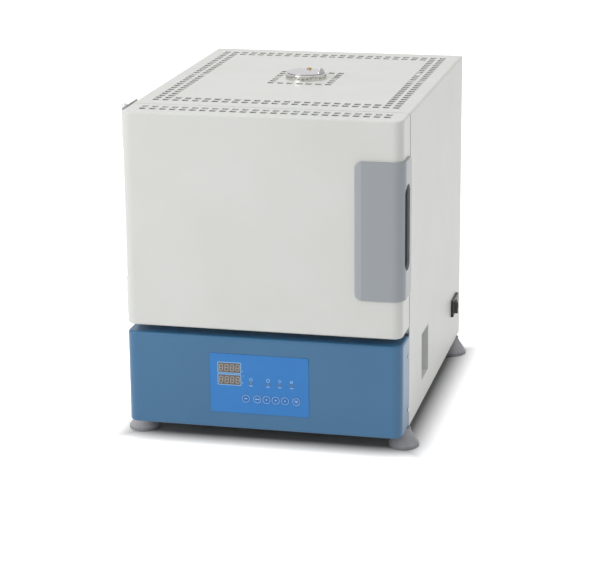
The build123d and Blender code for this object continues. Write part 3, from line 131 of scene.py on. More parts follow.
floor_radius, footprint_half = 14.0, (0.225, 0.265, 0.0)
painted_shadow_start, painted_shadow_end, glow_start, glow_end, full_glow = -0.02, 0.045, -0.01, 0.07, 0.85
floor_mesh = bpy.data.meshes.new("floor")
floor_shape = bmesh.new()
bmesh.ops.create_circle(floor_shape, cap_ends=True, radius=floor_radius, segments=96)
floor_shape.to_mesh(floor_mesh)
floor_shape.free()
floor = put("floor", floor_mesh)
paper = bpy.data.materials.new("matt_paper_floor")
paper.use_nodes = True
tree = paper.node_tree
tree.nodes.clear()
spot = add(tree, "ShaderNodeTexCoord").outputs["Object"]
spot = add(tree, "ShaderNodeVectorMath", {0: spot}, operation="ABSOLUTE")
past = add(tree, "ShaderNodeVectorMath", {0: spot, 1: footprint_half}, operation="SUBTRACT")
past = add(tree, "ShaderNodeSeparateXYZ", {0: past}).outputs
past = add(tree, "ShaderNodeMath", {0: past["X"], 1: past["Y"]}, operation="MAXIMUM")
glow = add(tree, "ShaderNodeMapRange", {0: past, 1: glow_start, 2: glow_end, 3: 0.0, 4: full_glow})
# Painted shadow: under the furnace's footprint the floor's colour darkens to grey.
painted_shadow_fade = add(tree, "ShaderNodeMapRange", {
    0: past, 1: painted_shadow_start, 2: painted_shadow_end}, interpolation_type="SMOOTHSTEP")
painted_shadow_colour = add(tree, "ShaderNodeMix", {0: painted_shadow_fade, 6: srgb("#8A8A8A"), 7: srgb("#F4F4F4")}, data_type="RGBA")
matt = add(tree, "ShaderNodeBsdfDiffuse", {"Color": painted_shadow_colour.outputs[2]})
lift = add(tree, "ShaderNodeEmission", {"Color": srgb("#FFFFFF"), "Strength": glow})
lifted = add(tree, "ShaderNodeAddShader", {0: matt, 1: lift})
both = add(tree, "ShaderNodeMixShader", {0: looked_at(tree), 1: matt, 2: lifted})
add(tree, "ShaderNodeOutputMaterial", {0: both})
floor_mesh.materials.append(paper)


# Base pan and the brackets, rail and divider of the frame: electrogalvanised sheet,
# folded. Zinc shows as a soft grey metal with faint crystal patches a few mm wide.
def start(name, colour, **numbers):
    """Starts a material: returns it with its tree, its shader and the surface's own coordinates."""
    material = bpy.data.materials.new(name)
    material.use_nodes = True
    tree = material.node_tree
    shader = tree.nodes["Principled BSDF"]
    shader.inputs["Base Color"].default_value = srgb(colour)
    for socket, value in numbers.items():
        shader.inputs[socket.replace("_", " ")].default_value = value
    return material, tree, shader, add(tree, "ShaderNodeTexCoord").outputs["Object"]


def show(shader, pattern, colours=None, span=(0.0, 1.0), gloss=None, relief=None):
    """Lets a pattern show on a surface: as a drift between two colours over a span of its value,
    as a drift between two roughnesses, or as relief of the given strength and depth."""
    tree = shader.id_data
    if colours:
        ramp = add(tree, "ShaderNodeValToRGB", {0: pattern})
        for stop, position, colour in zip(ramp.color_ramp.elements, span, colours):
            stop.position = position
            stop.color = srgb(colour)
        tree.links.new(ramp.outputs[0], shader.inputs["Base Color"])
    if gloss:
        level = add(tree, "ShaderNodeMapRange", {0: pattern, 3: gloss[0], 4: gloss[1]})
        tree.links.new(level.outputs[0], shader.inputs["Roughness"])
    if relief:
        bump = add(tree, "ShaderNodeBump", {"Height": pattern, "Strength": relief[0], "Distance": relief[1]})
        tree.links.new(bump.outputs[0], shader.inputs["Normal"])


def dress(material, *names):
    """Gives the material to every slot of the named CAD nodes."""
    for name in names:
        for place in node[name].material_slots:
            place.material = material


zinc, tree, shader, place = start("electrogalvanised_steel", "#B4B8BA", Metallic=1.0, Roughness=0.42)
crystals = add(tree, "ShaderNodeTexVoronoi", {"Vector": place, "Scale": 1 / (4.5455 * mm)}).outputs
show(shader, crystals["Color"], colours=("#A9ADB0", "#C0C4C6"))
show(shader, crystals["Distance"], gloss=(0.36, 0.5))
dress(zinc, "base_pan", "bay_divider", "roof_rail", "fascia_brackets")

# Levelling feet: moulded grey polypropylene pads that turn on a stud. The moulding
# has a fine spark-eroded grain, and its grey drifts a little from place to place.
foot_grey, tree, shader, place = start("moulded_polypropylene_grey", "#A4A4A9", Roughness=0.55)
grain = add(tree, "ShaderNodeTexNoise", {"Vector": place, "Scale": 1 / (1.1111 * mm), "Detail": 3.0})
cloud = add(tree, "ShaderNodeTexNoise", {"Vector": place, "Scale": 1 / (22.222 * mm), "Detail": 4.0})
show(shader, cloud, colours=("#9C9CA1", "#ACACB1"), span=(0.35, 0.65))
show(shader, grain, relief=(0.35, 0.1 * mm))
dress(foot_grey, "front_left_foot", "front_right_foot", "rear_left_foot", "rear_right_foot")

# Cabinet, door and rear panel: mild steel sheet, powder coated warm white. Baked
# powder leaves an orange peel about 2 mm across and a satin shine that wavers with it.
white_coat, tree, shader, place = start("powder_coated_steel_white", "#DCDDD8", Roughness=0.4)
peel = add(tree, "ShaderNodeTexNoise", {
    "Vector": place, "Scale": 1 / (1.9231 * mm), "Detail": 2.0, "Roughness": 0.4})
drift = add(tree, "ShaderNodeTexNoise", {"Vector": place, "Scale": 1 / (111.11 * mm), "Detail": 3.0})
show(shader, drift, colours=("#DADBD6", "#DEDFDB"), span=(0.3, 0.7))
show(shader, peel, gloss=(0.36, 0.46), relief=(0.12, 0.2 * mm))
dress(white_coat, "cabinet_shell", "rear_panel", "door_shell")

# Front fascia: the same folded sheet in blue powder, with a shallower orange peel and
# more gloss than the white.
blue_coat, tree, shader, place = start("powder_coated_steel_blue", "#356B93", Roughness=0.3)
peel = add(tree, "ShaderNodeTexNoise", {
    "Vector": place, "Scale": 1 / (1.9231 * mm), "Detail": 2.0, "Roughness": 0.4})
drift = add(tree, "ShaderNodeTexNoise", {"Vector": place, "Scale": 1 / (142.86 * mm), "Detail": 3.0})
show(shader, drift, colours=("#336991", "#386E96"), span=(0.3, 0.7))
show(shader, peel, gloss=(0.26, 0.35), relief=(0.1, 0.2 * mm))
dress(blue_coat, "front_fascia")


# Front frame, door liner and hinges: stainless sheet with a rolled brushed finish,
# drawn as streaks about 0.4 mm wide so that they show at this size.
def streaks(tree, place, sizes, detail):
    """Noise drawn out into streaks, of the given sizes in mm along X, Y and Z."""
    scale = tuple(1 / (size * mm) for size in sizes)
    drawn_out = add(tree, "ShaderNodeMapping", {"Vector": place, "Scale": scale})
    return add(tree, "ShaderNodeTexNoise", {"Vector": drawn_out, "Scale": 1.0, "Detail": detail})


stainless, tree, shader, place = start("brushed_stainless_steel", "#C3C4C4", Metallic=1.0, Roughness=0.34)
brushing = streaks(tree, place, (25.0, 25.0, 0.4), 3.0)
show(shader, brushing, colours=("#B9BABB", "#CDCECE"), span=(0.3, 0.7))
show(shader, brushing, gloss=(0.26, 0.42), relief=(0.1, 0.05 * mm))
dress(stainless, "front_frame", "door_inner_panel", "hinge_cabinet_leaves")
dress(stainless, "hinge_door_leaves", "hinge_pins")

# Inner case: the same stainless sheet after many firings, its skin tinted straw and brown in
# clouds and darkened with painted shade, so that what shows through the air slots is dark and warm.
heat_tint_and_painted_shade, tree, shader, place = start("heat_tinted_stainless_painted_shade", "#8A7C70", Metallic=1.0, Roughness=0.5)
cloud = add(tree, "ShaderNodeTexNoise", {"Vector": place, "Scale": 1 / (83.333 * mm), "Detail": 4.0})
show(shader, cloud, colours=("#6E6055", "#9C8E80"), span=(0.35, 0.65))
dress(heat_tint_and_painted_shade, "inner_case")

# Insulation of the chamber and the door's plug: vacuum-formed alumina fibre board,
# matt and chalky, with faint cream patches. Its matted fibres are drawn about 1.4 mm
# apart so that they show.
fibre, tree, shader, place = start("vacuum_formed_ceramic_fibre", "#ECEAE2", Roughness=0.95)
fuzz = add(tree, "ShaderNodeTexNoise", {
    "Vector": place, "Scale": 1 / (1.4286 * mm), "Detail": 6.0, "Distortion": 1.5})
patches = add(tree, "ShaderNodeTexNoise", {"Vector": place, "Scale": 1 / (33.333 * mm), "Detail": 5.0})
show(shader, patches, colours=("#E4E0D5", "#F0EEE8"), span=(0.35, 0.65))
show(shader, fuzz, relief=(0.6, 0.4 * mm))
dress(fibre, "chamber_floor", "chamber_left_wall", "chamber_rear_wall", "chamber_right_wall")
dress(fibre, "chamber_roof", "throat_ring", "door_plug")


# Heating elements: resistance wire wound into a close coil and laid in the grooves
# of both side walls, its tails run straight out through the rear wall. Fired iron
# chromium aluminium wire is dull grey with a rough oxide skin.
def geometry_tree(name, *sizes):
    """Starts a Geometry Nodes tree that takes geometry, the named sizes and a material."""
    tree = bpy.data.node_groups.new(name, "GeometryNodeTree")
    tree.interface.new_socket("Geometry", in_out="INPUT", socket_type="NodeSocketGeometry")
    for title in sizes:
        tree.interface.new_socket(title, in_out="INPUT", socket_type="NodeSocketFloat")
    tree.interface.new_socket("Material", in_out="INPUT", socket_type="NodeSocketMaterial")
    tree.interface.new_socket("Geometry", in_out="OUTPUT", socket_type="NodeSocketGeometry")
    return tree, add(tree, "NodeGroupInput").outputs


def close_tree(tree, shape, material):
    """Ends a tree: real geometry in the given material."""
    whole = add(tree, "GeometryNodeRealizeInstances", {"Geometry": shape})
    painted = add(tree, "GeometryNodeSetMaterial", {"Geometry": whole, "Material": material})
    add(tree, "NodeGroupOutput", {0: painted})


def socket_value(modifier, tree, name, value):
    """Sets a named input of a Geometry Nodes modifier by its socket's identifier."""
    for item in tree.interface.items_tree:
        if item.item_type == "SOCKET" and item.in_out == "INPUT" and item.name == name:
            modifier[item.identifier] = value


def bake(carrier, tree, values, name):
    """Runs the tree on a carrier object and keeps the result as a plain mesh object of that name."""
    modifier = carrier.modifiers.new("tree", "NODES")
    modifier.node_group = tree
    for title, value in values.items():
        socket_value(modifier, tree, title, value)
    bpy.context.view_layer.update()
    ready = carrier.evaluated_get(bpy.context.evaluated_depsgraph_get())
    mesh = bpy.data.meshes.new_from_object(ready)
    mesh.name = name
    carrier.modifiers.remove(modifier)
    bpy.data.objects.remove(carrier)
    return put(name, mesh)


oxide, tree, shader, place = start("oxidised_resistance_wire", "#77706A", Metallic=0.6, Roughness=0.6)
skin = add(tree, "ShaderNodeTexNoise", {"Vector": place, "Scale": 1 / (2.5 * mm), "Detail": 5.0})
show(shader, skin, colours=("#5C554F", "#8D867F"))

groove_x, passes, pass_pitch, lowest_pass = 100.0 * mm, 6, 26.4 * mm, 304.0 * mm
front_turn, back_turn, tail_end = -156.3 * mm, 85.3 * mm, 202.5 * mm
turn_steps = 8
coil_plan = bpy.data.curves.new("coil_route", "CURVE")
coil_plan.dimensions = "3D"
for wall_x in (-groove_x, groove_x):
    route = []
    for step in range(passes):
        z = lowest_pass + step * pass_pitch
        end = tail_end if step in (0, passes - 1) else back_turn
        straight = [(wall_x, front_turn, z), (wall_x, end, z)]
        route += straight if step % 2 else straight[::-1]
        if step < passes - 1:
            middle, way = (back_turn, 1) if step % 2 else (front_turn, -1)
            for part in range(1, turn_steps):
                swing = part * pi / turn_steps
                y = middle + way * sin(swing) * pass_pitch / 2
                route.append((wall_x, y, z + (1 - cos(swing)) * pass_pitch / 2))
    spline = coil_plan.splines.new("POLY")
    spline.points.add(len(route) - 1)
    for point, corner in zip(spline.points, route):
        point.co = (*corner, 1.0)

tree, given = geometry_tree("wound_coil", "Coil Radius", "Wire Radius", "Turn Pitch", "Chamber Back", "Tail")
sample = add(tree, "ShaderNodeMath", {0: given["Turn Pitch"], 1: 10.0}, operation="DIVIDE")
fine = add(tree, "GeometryNodeResampleCurve", {"Curve": given[0], "Length": sample}, mode="LENGTH")
along = add(tree, "GeometryNodeSplineParameter").outputs["Length"]
turns = add(tree, "ShaderNodeMath", {0: along, 1: given["Turn Pitch"]}, operation="DIVIDE")
angle = add(tree, "ShaderNodeMath", {0: turns, 1: 2 * pi}, operation="MULTIPLY")
tangent = add(tree, "GeometryNodeInputTangent")
side = add(tree, "ShaderNodeVectorMath", {0: tangent, 1: (1.0, 0.0, 0.0)}, operation="CROSS_PRODUCT")
spot = add(tree, "ShaderNodeSeparateXYZ", {0: add(tree, "GeometryNodeInputPosition")}).outputs
tail_start = add(tree, "ShaderNodeMath", {0: given["Chamber Back"], 1: given["Tail"]})
reach = add(tree, "ShaderNodeMapRange", {
    0: spot["Y"], 1: given["Chamber Back"], 2: tail_start, 3: given["Coil Radius"], 4: 0.0})
over = add(tree, "ShaderNodeMath", {0: angle}, operation="COSINE")
over = add(tree, "ShaderNodeMath", {0: over, 1: reach}, operation="MULTIPLY")
over = add(tree, "ShaderNodeCombineXYZ", {"X": over})
up = add(tree, "ShaderNodeMath", {0: angle}, operation="SINE")
up = add(tree, "ShaderNodeMath", {0: up, 1: reach}, operation="MULTIPLY")
up = add(tree, "ShaderNodeVectorMath", {0: side, "Scale": up}, operation="SCALE")
wound = add(tree, "ShaderNodeVectorMath", {0: over, 1: up})
helix = add(tree, "GeometryNodeSetPosition", {"Geometry": fine, "Offset": wound})
section = add(tree, "GeometryNodeCurvePrimitiveCircle", {"Resolution": 6, "Radius": given["Wire Radius"]})
wire = add(tree, "GeometryNodeCurveToMesh", {"Curve": helix, "Profile Curve": section, "Fill Caps": True})
close_tree(tree, add(tree, "GeometryNodeSetShadeSmooth", {"Geometry": wire}), given["Material"])
coils = bake(put("coil_route", coil_plan), tree, {
    "Coil Radius": 3.5 * mm, "Wire Radius": 0.85 * mm, "Turn Pitch": 4.6 * mm,
    "Chamber Back": 88.0 * mm, "Tail": 12.0 * mm, "Material": oxide,
}, "heating_coils")
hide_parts("heating_elements")
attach(coils, "cabinet")

# Hearth plate: a pressed cordierite tile on the chamber's floor, buff, with fine dark
# grog specks.
hearth, tree, shader, place = start("pressed_cordierite_tile", "#D6CBB6", Roughness=0.85)
grog = add(tree, "ShaderNodeTexVoronoi", {"Vector": place, "Scale": 1 / (1.6667 * mm)}).outputs["Distance"]
show(shader, grog, colours=("#A89A82", "#D8CDB9"), span=(0.12, 0.3), relief=(0.3, 0.2 * mm))
dress(hearth, "hearth_plate")

# Flue tube and thermocouple sheath: dense sintered alumina, ivory, with a faint
# satin shine and the slight waviness of an extruded tube.
alumina, tree, shader, place = start("sintered_alumina", "#EFEBDD", Roughness=0.4)
wave = add(tree, "ShaderNodeTexNoise", {"Vector": place, "Scale": 1 / (8.3333 * mm), "Detail": 2.0})
show(shader, wave, colours=("#E9E4D3", "#F3F0E6"), relief=(0.2, 0.1 * mm))
dress(alumina, "flue_tube", "thermocouple_sheath")

# Thermocouple head and heat sink: die-cast and extruded aluminium, pale grey with a
# sandy skin.
cast, tree, shader, place = start("sand_blasted_aluminium", "#B3B5B7", Metallic=1.0, Roughness=0.55)
sand = add(tree, "ShaderNodeTexNoise", {"Vector": place, "Scale": 1 / (0.83333 * mm), "Detail": 3.0})
show(shader, sand, gloss=(0.45, 0.65), relief=(0.4, 0.1 * mm))
dress(cast, "thermocouple_head", "heat_sink")

# Vent collar: a turned and polished stainless ring on the top. Polishing leaves a
# mirror with hair-fine marks that run round the ring.
polished, tree, shader, place = start("polished_stainless_steel", "#CFCDC9", Metallic=1.0, Roughness=0.14)
show(shader, streaks(tree, place, (50.0, 50.0, 0.33333), 2.0), gloss=(0.08, 0.2))
dress(polished, "vent_collar")

# Vent lid: a stainless disc with its tab bent up, brushed on the flat, so it reflects
# the tent as one even pale grey.
lid_steel, tree, shader, place = start("fine_brushed_stainless_lid", "#C3C2C6", Metallic=1.0, Roughness=0.3)
show(shader, streaks(tree, place, (0.4, 16.667, 16.667), 2.0), gloss=(0.24, 0.38))
dress(lid_steel, "vent_lid")

# Pivot screw: turned brass with a shoulder, put through the lid into the collar, warm
# yellow and slightly tarnished.
brass, tree, shader, place = start("turned_brass", "#B8935A", Metallic=1.0, Roughness=0.3)
tarnish = add(tree, "ShaderNodeTexNoise", {"Vector": place, "Scale": 1 / (2.0 * mm), "Detail": 3.0})
show(shader, tarnish, colours=("#A07E49", "#C9A56B"))
dress(brass, "vent_pivot_screw")

# Handle cover: an injection-moulded ABS wrap on the door's edge, mid grey with a fine
# spark-eroded grain. A soft crease runs down it a seventh of the way in from its left.
grip, tree, shader, place = start("moulded_abs_grey", "#A2A6A9", Roughness=0.36)
crease_left, crease_right = 160.0 * mm, 162.5 * mm
grain = add(tree, "ShaderNodeTexNoise", {"Vector": place, "Scale": 1 / (0.66667 * mm), "Detail": 2.0})
where = add(tree, "ShaderNodeSeparateXYZ", {0: place}).outputs["X"]
crease_and_painted_highlight = add(tree, "ShaderNodeMapRange", {
    0: where, 1: crease_left, 2: crease_right}, interpolation_type="SMOOTHSTEP")
# Painted highlight: the strip left of the crease is a lighter grey, where the rim turns to the light.
show(shader, crease_and_painted_highlight, colours=("#A9ADB1", "#9CA1A6"))
fold = add(tree, "ShaderNodeBump", {"Height": crease_and_painted_highlight, "Strength": 0.5, "Distance": -0.5 * mm})
bump = add(tree, "ShaderNodeBump", {"Height": grain, "Strength": 0.15, "Distance": 0.08 * mm, "Normal": fold})
tree.links.new(bump.outputs[0], shader.inputs["Normal"])
dress(grip, "handle_cover")

# Handle cup: the moulded pocket behind the finger slot, charcoal ABS with the same
# grain as the cover.
pocket, tree, shader, place = start("moulded_abs_charcoal", "#5E6062", Roughness=0.5)
grain = add(tree, "ShaderNodeTexNoise", {"Vector": place, "Scale": 1 / (0.66667 * mm), "Detail": 2.0})
show(shader, grain, gloss=(0.44, 0.56), relief=(0.2, 0.08 * mm))
dress(pocket, "handle_cup")

# Catch magnets: nickel-plated bars on the front frame that hold the door shut, bright
# and faintly mottled.
nickel, tree, shader, place = start("nickel_plate", "#C9C6C0", Metallic=1.0, Roughness=0.22)
mottle = add(tree, "ShaderNodeTexNoise", {"Vector": place, "Scale": 1 / (4.0 * mm), "Detail": 3.0})
show(shader, mottle, gloss=(0.16, 0.32))
dress(nickel, "catch_magnets")

# Control panel: a screen-printed polyester overlay on a plastic plate, bright blue,
# satin, with the film's fine texture.
overlay, tree, shader, place = start("printed_polyester_overlay", "#2679C3", Roughness=0.42)
film = add(tree, "ShaderNodeTexNoise", {"Vector": place, "Scale": 1 / (0.625 * mm), "Detail": 2.0})
drift = add(tree, "ShaderNodeTexNoise", {"Vector": place, "Scale": 1 / (71.429 * mm), "Detail": 2.0})
show(shader, drift, colours=("#2276C0", "#2A7DC6"))
show(shader, film, relief=(0.15, 0.06 * mm))
dress(overlay, "control_panel")

# Keys: the same film over round domes, a shade darker than the panel. Their places
# across the panel are in mm, and the print on them uses the same.
key_xs = {
    "set_key": -27.7, "auto_tune_key": -8.8, "shift_key": 6.4,
    "down_key": 21.5, "up_key": 36.6, "run_stop_key": 55.2,
}
key_film, tree, shader, place = start("printed_polyester_key", "#276AB2", Roughness=0.4)
film = add(tree, "ShaderNodeTexNoise", {"Vector": place, "Scale": 1 / (0.625 * mm), "Detail": 2.0})
show(shader, film, relief=(0.15, 0.06 * mm))
dress(key_film, *key_xs)

# Print on the panel and keys: a film of pale ink, with a hair of ink's unevenness.
# The panel carries frames round the displays, signs and plain bars by the lamps, and
# the keys carry rings, arrows and bars. All its sizes are in mm.
ink, tree, shader, place = start("pale_blue_screen_ink", "#93C4F2", Roughness=0.5)
uneven = add(tree, "ShaderNodeTexNoise", {"Vector": place, "Scale": 1 / (1.25 * mm), "Detail": 2.0})
show(shader, uneven, colours=("#88BDEE", "#A0CDF6"))
panel_y, key_y = -305.4 * mm, -306.0 * mm
film_back, film_front = 0.01 * mm, 0.05 * mm


def print_on(name, shapes, face_y, material, body, stand=Matrix()):
    """Thin printed film in front of a face: each shape is a closed outline, or an outline with a hole.
    A stand turns the film and takes it to a face that doesn't look to the front."""
    shape = bmesh.new()
    for loops in shapes:
        following = [(k, (k + 1) % len(loops[0])) for k in range(len(loops[0]))]
        faces = []
        for y in (face_y - film_back, face_y - film_front):
            faces.append([[shape.verts.new((x * mm, y, z * mm)) for x, z in loop] for loop in loops])
        for face in faces:
            if len(loops) == 2:
                for k, n in following:
                    shape.faces.new((face[0][k], face[0][n], face[1][n], face[1][k]))
            else:
                shape.faces.new(face[0])
        for near, far in zip(*faces):
            for k, n in following:
                shape.faces.new((near[k], near[n], far[n], far[k]))
    bmesh.ops.recalc_face_normals(shape, faces=shape.faces[:])
    mesh = bpy.data.meshes.new(name)
    shape.to_mesh(mesh)
    shape.free()
    mesh.transform(stand)
    mesh.materials.append(material)
    piece = put(name, mesh)
    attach(piece, body)


def round_loop(x, z, radius, count=40, start_at=0.0):
    """Outline of a circle, or of a regular figure when the count is small."""
    corners = [start_at + 2 * pi * k / count for k in range(count)]
    return [(x + radius * cos(a), z + radius * sin(a)) for a in corners]


def bar_loop(x, z, width, height, radius, each=5):
    """Outline of a bar with rounded corners."""
    points = []
    for sx, sz, quarter in ((1, 1, 0), (-1, 1, 1), (-1, -1, 2), (1, -1, 3)):
        for k in range(each):
            a = (quarter + k / (each - 1)) * pi / 2
            cx = x + sx * (width / 2 - radius)
            cz = z + sz * (height / 2 - radius)
            points.append((cx + radius * cos(a), cz + radius * sin(a)))
    return points


def ring(x, z, outer, inner, count):
    """Outline of a ring, or of a regular frame when the count is small."""
    return [round_loop(x, z, outer, count), round_loop(x, z, inner, count)]


display_x, display_zs, key_z, lamp_z = -54.4, (134.0, 114.0), 84.0, 110.4
frame_outside, frame_inside = (38.8, 18.6, 1.2), (36.6, 16.4, 0.4)
lamp_xs = (-19.0, 9.0, 28.2, 47.6)
sign_z, sign_outer, sign_inner, sign_sides = lamp_z + 5.8, 3.0, 2.1, (6, 40, 4)
wave_pitch, wave_bar = 1.7, (0.9, 4.6, 0.4)
caption_z, caption_bar = lamp_z - 4.6, (5.6, 1.5, 0.6)
unit_places, unit_bar = ((-32.6, 129.6), (-31.0, 121.6), (-32.6, 109.8)), (2.0, 1.3, 0.5)
prints = [[bar_loop(display_x, z, *frame_outside), bar_loop(display_x, z, *frame_inside)] for z in display_zs]
prints += [[bar_loop(x, caption_z, *caption_bar)] for x in lamp_xs]
prints += [ring(x, sign_z, sign_outer, sign_inner, sides) for x, sides in zip(lamp_xs, sign_sides)]
prints += [[bar_loop(lamp_xs[3] + step * wave_pitch, sign_z, *wave_bar)] for step in (-1, 0, 1)]
prints += [[bar_loop(x, z, *unit_bar)] for x, z in unit_places]
print_on("panel_print", prints, panel_y, ink, "cabinet")

key_ring_outer, key_ring_inner, arrow_radius = 6.5, 5.6, 2.1
key_bars = {
    "set_key": ((0.0, 5.0, 1.7, 0.8),),
    "auto_tune_key": ((0.0, 7.6, 1.7, 0.8),),
    "run_stop_key": ((1.1, 5.8, 1.4, 0.6), (-1.1, 3.4, 1.4, 0.6)),
}
key_arrows = {"shift_key": (-0.2, pi), "down_key": (0.0, -pi / 2), "up_key": (0.0, pi / 2)}
for name, x in key_xs.items():
    marks = [ring(x, key_z, key_ring_outer, key_ring_inner, 48)]
    marks += [[bar_loop(x, key_z + rise, *size)] for rise, *size in key_bars.get(name, ())]
    if name in key_arrows:
        shift, points_to = key_arrows[name]
        marks.append([round_loop(x + shift, key_z, arrow_radius, 3, points_to)])
    print_on(name + "_print", marks, key_y, ink, name + "_body")

# Displays: smoked acrylic windows printed into the overlay, brown grey and glossy,
# with the modules of the same colour behind them.
smoke, tree, shader, place = start("smoked_acrylic_window", "#5C5858", Roughness=0.12)
haze = add(tree, "ShaderNodeTexNoise", {"Vector": place, "Scale": 1 / (3.3333 * mm), "Detail": 2.0})
show(shader, haze, gloss=(0.08, 0.18))
window_size = (36.5, 16.3, 0.4)
windows = [[bar_loop(display_x, z, *window_size)] for z in display_zs]
print_on("display_windows", windows, panel_y, smoke, "cabinet")
dress(smoke, "upper_display", "lower_display")

# Digits: unlit seven-segment figures, four to a display, warm grey diffusers that
# stand a hair proud of the window's face and lean a little to the right.
segment, tree, shader, place = start("unlit_led_diffuser", "#A69D94", Roughness=0.55)
cloudy = add(tree, "ShaderNodeTexNoise", {"Vector": place, "Scale": 1 / (1.4286 * mm), "Detail": 2.0})
show(shader, cloudy, colours=("#9E958C", "#AFA69D"))
digit_count, digit_stand = 4, 0.06 * mm
tree, given = geometry_tree(
    "seven_segment_digits", "Segment Length", "Segment Radius", "Half Height", "Digit Pitch",
    "Lean", "Thickness", "Width to Length")
bar = add(tree, "GeometryNodeMeshCircle", {
    "Vertices": 6, "Radius": given["Segment Radius"]}, fill_type="NGON")
spot = add(tree, "ShaderNodeSeparateXYZ", {0: add(tree, "GeometryNodeInputPosition")}).outputs
way = add(tree, "ShaderNodeMath", {0: spot["X"]}, operation="SIGN")
half = add(tree, "ShaderNodeMath", {0: given["Segment Length"], 1: 0.5}, operation="MULTIPLY")
spare = add(tree, "ShaderNodeMath", {0: half, 1: given["Segment Radius"]}, operation="SUBTRACT")
push = add(tree, "ShaderNodeMath", {0: way, 1: spare}, operation="MULTIPLY")
push = add(tree, "ShaderNodeCombineXYZ", {"X": push})
bar = add(tree, "GeometryNodeSetPosition", {"Geometry": bar, "Offset": push})
bar = add(tree, "GeometryNodeExtrudeMesh", {
    "Mesh": bar, "Offset Scale": given["Thickness"], "Individual": False})
lowest = add(tree, "ShaderNodeMath", {0: given["Half Height"], 1: -1.0}, operation="MULTIPLY")
lowest = add(tree, "ShaderNodeCombineXYZ", {"Y": lowest})
rise = add(tree, "ShaderNodeCombineXYZ", {"Y": given["Half Height"]})
levels = add(tree, "GeometryNodeMeshLine", {"Count": 3, "Start Location": lowest, "Offset": rise})
flats = add(tree, "GeometryNodeInstanceOnPoints", {"Points": levels, "Instance": bar})
wide = add(tree, "ShaderNodeMath", {
    0: given["Segment Length"], 1: given["Width to Length"]}, operation="MULTIPLY")
posts = add(tree, "GeometryNodeMeshGrid", {
    "Size X": wide, "Size Y": given["Half Height"], "Vertices X": 2, "Vertices Y": 2})
uprights = add(tree, "GeometryNodeInstanceOnPoints", {
    "Points": posts, "Instance": bar, "Rotation": (0.0, 0.0, pi / 2)})
figure = add(tree, "GeometryNodeJoinGeometry")
tree.links.new(flats.outputs[0], figure.inputs[0])
tree.links.new(uprights.outputs[0], figure.inputs[0])
pitch = add(tree, "ShaderNodeCombineXYZ", {"X": given["Digit Pitch"]})
first = add(tree, "ShaderNodeVectorMath", {0: pitch, "Scale": -(digit_count - 1) / 2}, operation="SCALE")
row = add(tree, "GeometryNodeMeshLine", {"Count": digit_count, "Start Location": first, "Offset": pitch})
digits = add(tree, "GeometryNodeInstanceOnPoints", {"Points": row, "Instance": figure})
whole = add(tree, "GeometryNodeRealizeInstances", {"Geometry": digits})
spot = add(tree, "ShaderNodeSeparateXYZ", {0: add(tree, "GeometryNodeInputPosition")}).outputs
slide = add(tree, "ShaderNodeMath", {0: spot["Y"], 1: given["Lean"]}, operation="MULTIPLY")
slide = add(tree, "ShaderNodeCombineXYZ", {"X": slide})
leaning = add(tree, "GeometryNodeSetPosition", {"Geometry": whole, "Offset": slide})
close_tree(tree, leaning, given["Material"])
for name, z in zip(("upper_digits", "lower_digits"), display_zs):
    piece = bake(put(name, bpy.data.meshes.new(name)), tree, {
        "Segment Length": 5.0 * mm, "Segment Radius": 0.72 * mm, "Half Height": 5.0 * mm,
        "Digit Pitch": 9.1 * mm, "Lean": 0.08, "Thickness": 0.03 * mm, "Width to Length": 1.08,
        "Material": segment,
    }, name)
    middle = Matrix.Translation((display_x * mm, panel_y - digit_stand, z * mm))
    piece.data.transform(middle @ Matrix.Rotation(pi / 2, 4, "X"))
    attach(piece, "cabinet")

# Indicator lamps: small tinted lenses, unlit, smoky blue grey, each in a dark ring
# printed on the overlay.
lens_plastic, tree, shader, place = start("smoked_lamp_lens", "#6C8396", Roughness=0.2)
haze = add(tree, "ShaderNodeTexNoise", {"Vector": place, "Scale": 1 / (1.1111 * mm), "Detail": 2.0})
show(shader, haze, gloss=(0.14, 0.28))
dress(lens_plastic, "indicator_lamps")
rim_ink, tree, shader, place = start("dark_screen_ink", "#44586F", Roughness=0.5)
uneven = add(tree, "ShaderNodeTexNoise", {"Vector": place, "Scale": 1 / (1.25 * mm), "Detail": 2.0})
show(shader, uneven, gloss=(0.44, 0.56))
rim_outer, rim_inner = 2.5, 1.9
rims = [ring(x, lamp_z, rim_outer, rim_inner, 32) for x in lamp_xs]
print_on("lamp_rims", rims, panel_y, rim_ink, "cabinet")

# Control board: green solder mask over copper tracks, which show as slightly
# lighter lines about 4 mm apart.
board, tree, shader, place = start("solder_masked_board", "#1F5A3B", Roughness=0.35)
tracks = add(tree, "ShaderNodeTexBrick", {
    "Vector": place, "Scale": 1 / (16.667 * mm), "Color1": srgb("#1F5A3B"), "Color2": srgb("#23633F"),
    "Mortar": srgb("#2F7A50"), "Mortar Size": 0.012})
tree.links.new(tracks.outputs[0], shader.inputs["Base Color"])
dress(board, "control_board")

# Breaker recess: a moulded polystyrene box let into the side, pale grey with a fine
# moulded grain.
recess, tree, shader, place = start("moulded_recess_grey", "#E2E4DF", Roughness=0.5)
grain = add(tree, "ShaderNodeTexNoise", {"Vector": place, "Scale": 1 / (0.83333 * mm), "Detail": 2.0})
show(shader, grain, gloss=(0.44, 0.56), relief=(0.2, 0.1 * mm))
dress(recess, "breaker_recess")

# Breaker, relay and terminals: glass-filled polyamide cases, dark grey and matt, with
# the glass strands faint in the skin.
polyamide, tree, shader, place = start("glass_filled_polyamide", "#3A3C3F", Roughness=0.6)
strands = add(tree, "ShaderNodeTexNoise", {"Vector": place, "Scale": 1 / (1.25 * mm), "Detail": 5.0})
show(shader, strands, colours=("#323437", "#45474A"))
dress(polyamide, "circuit_breaker", "solid_state_relay", "terminal_block")

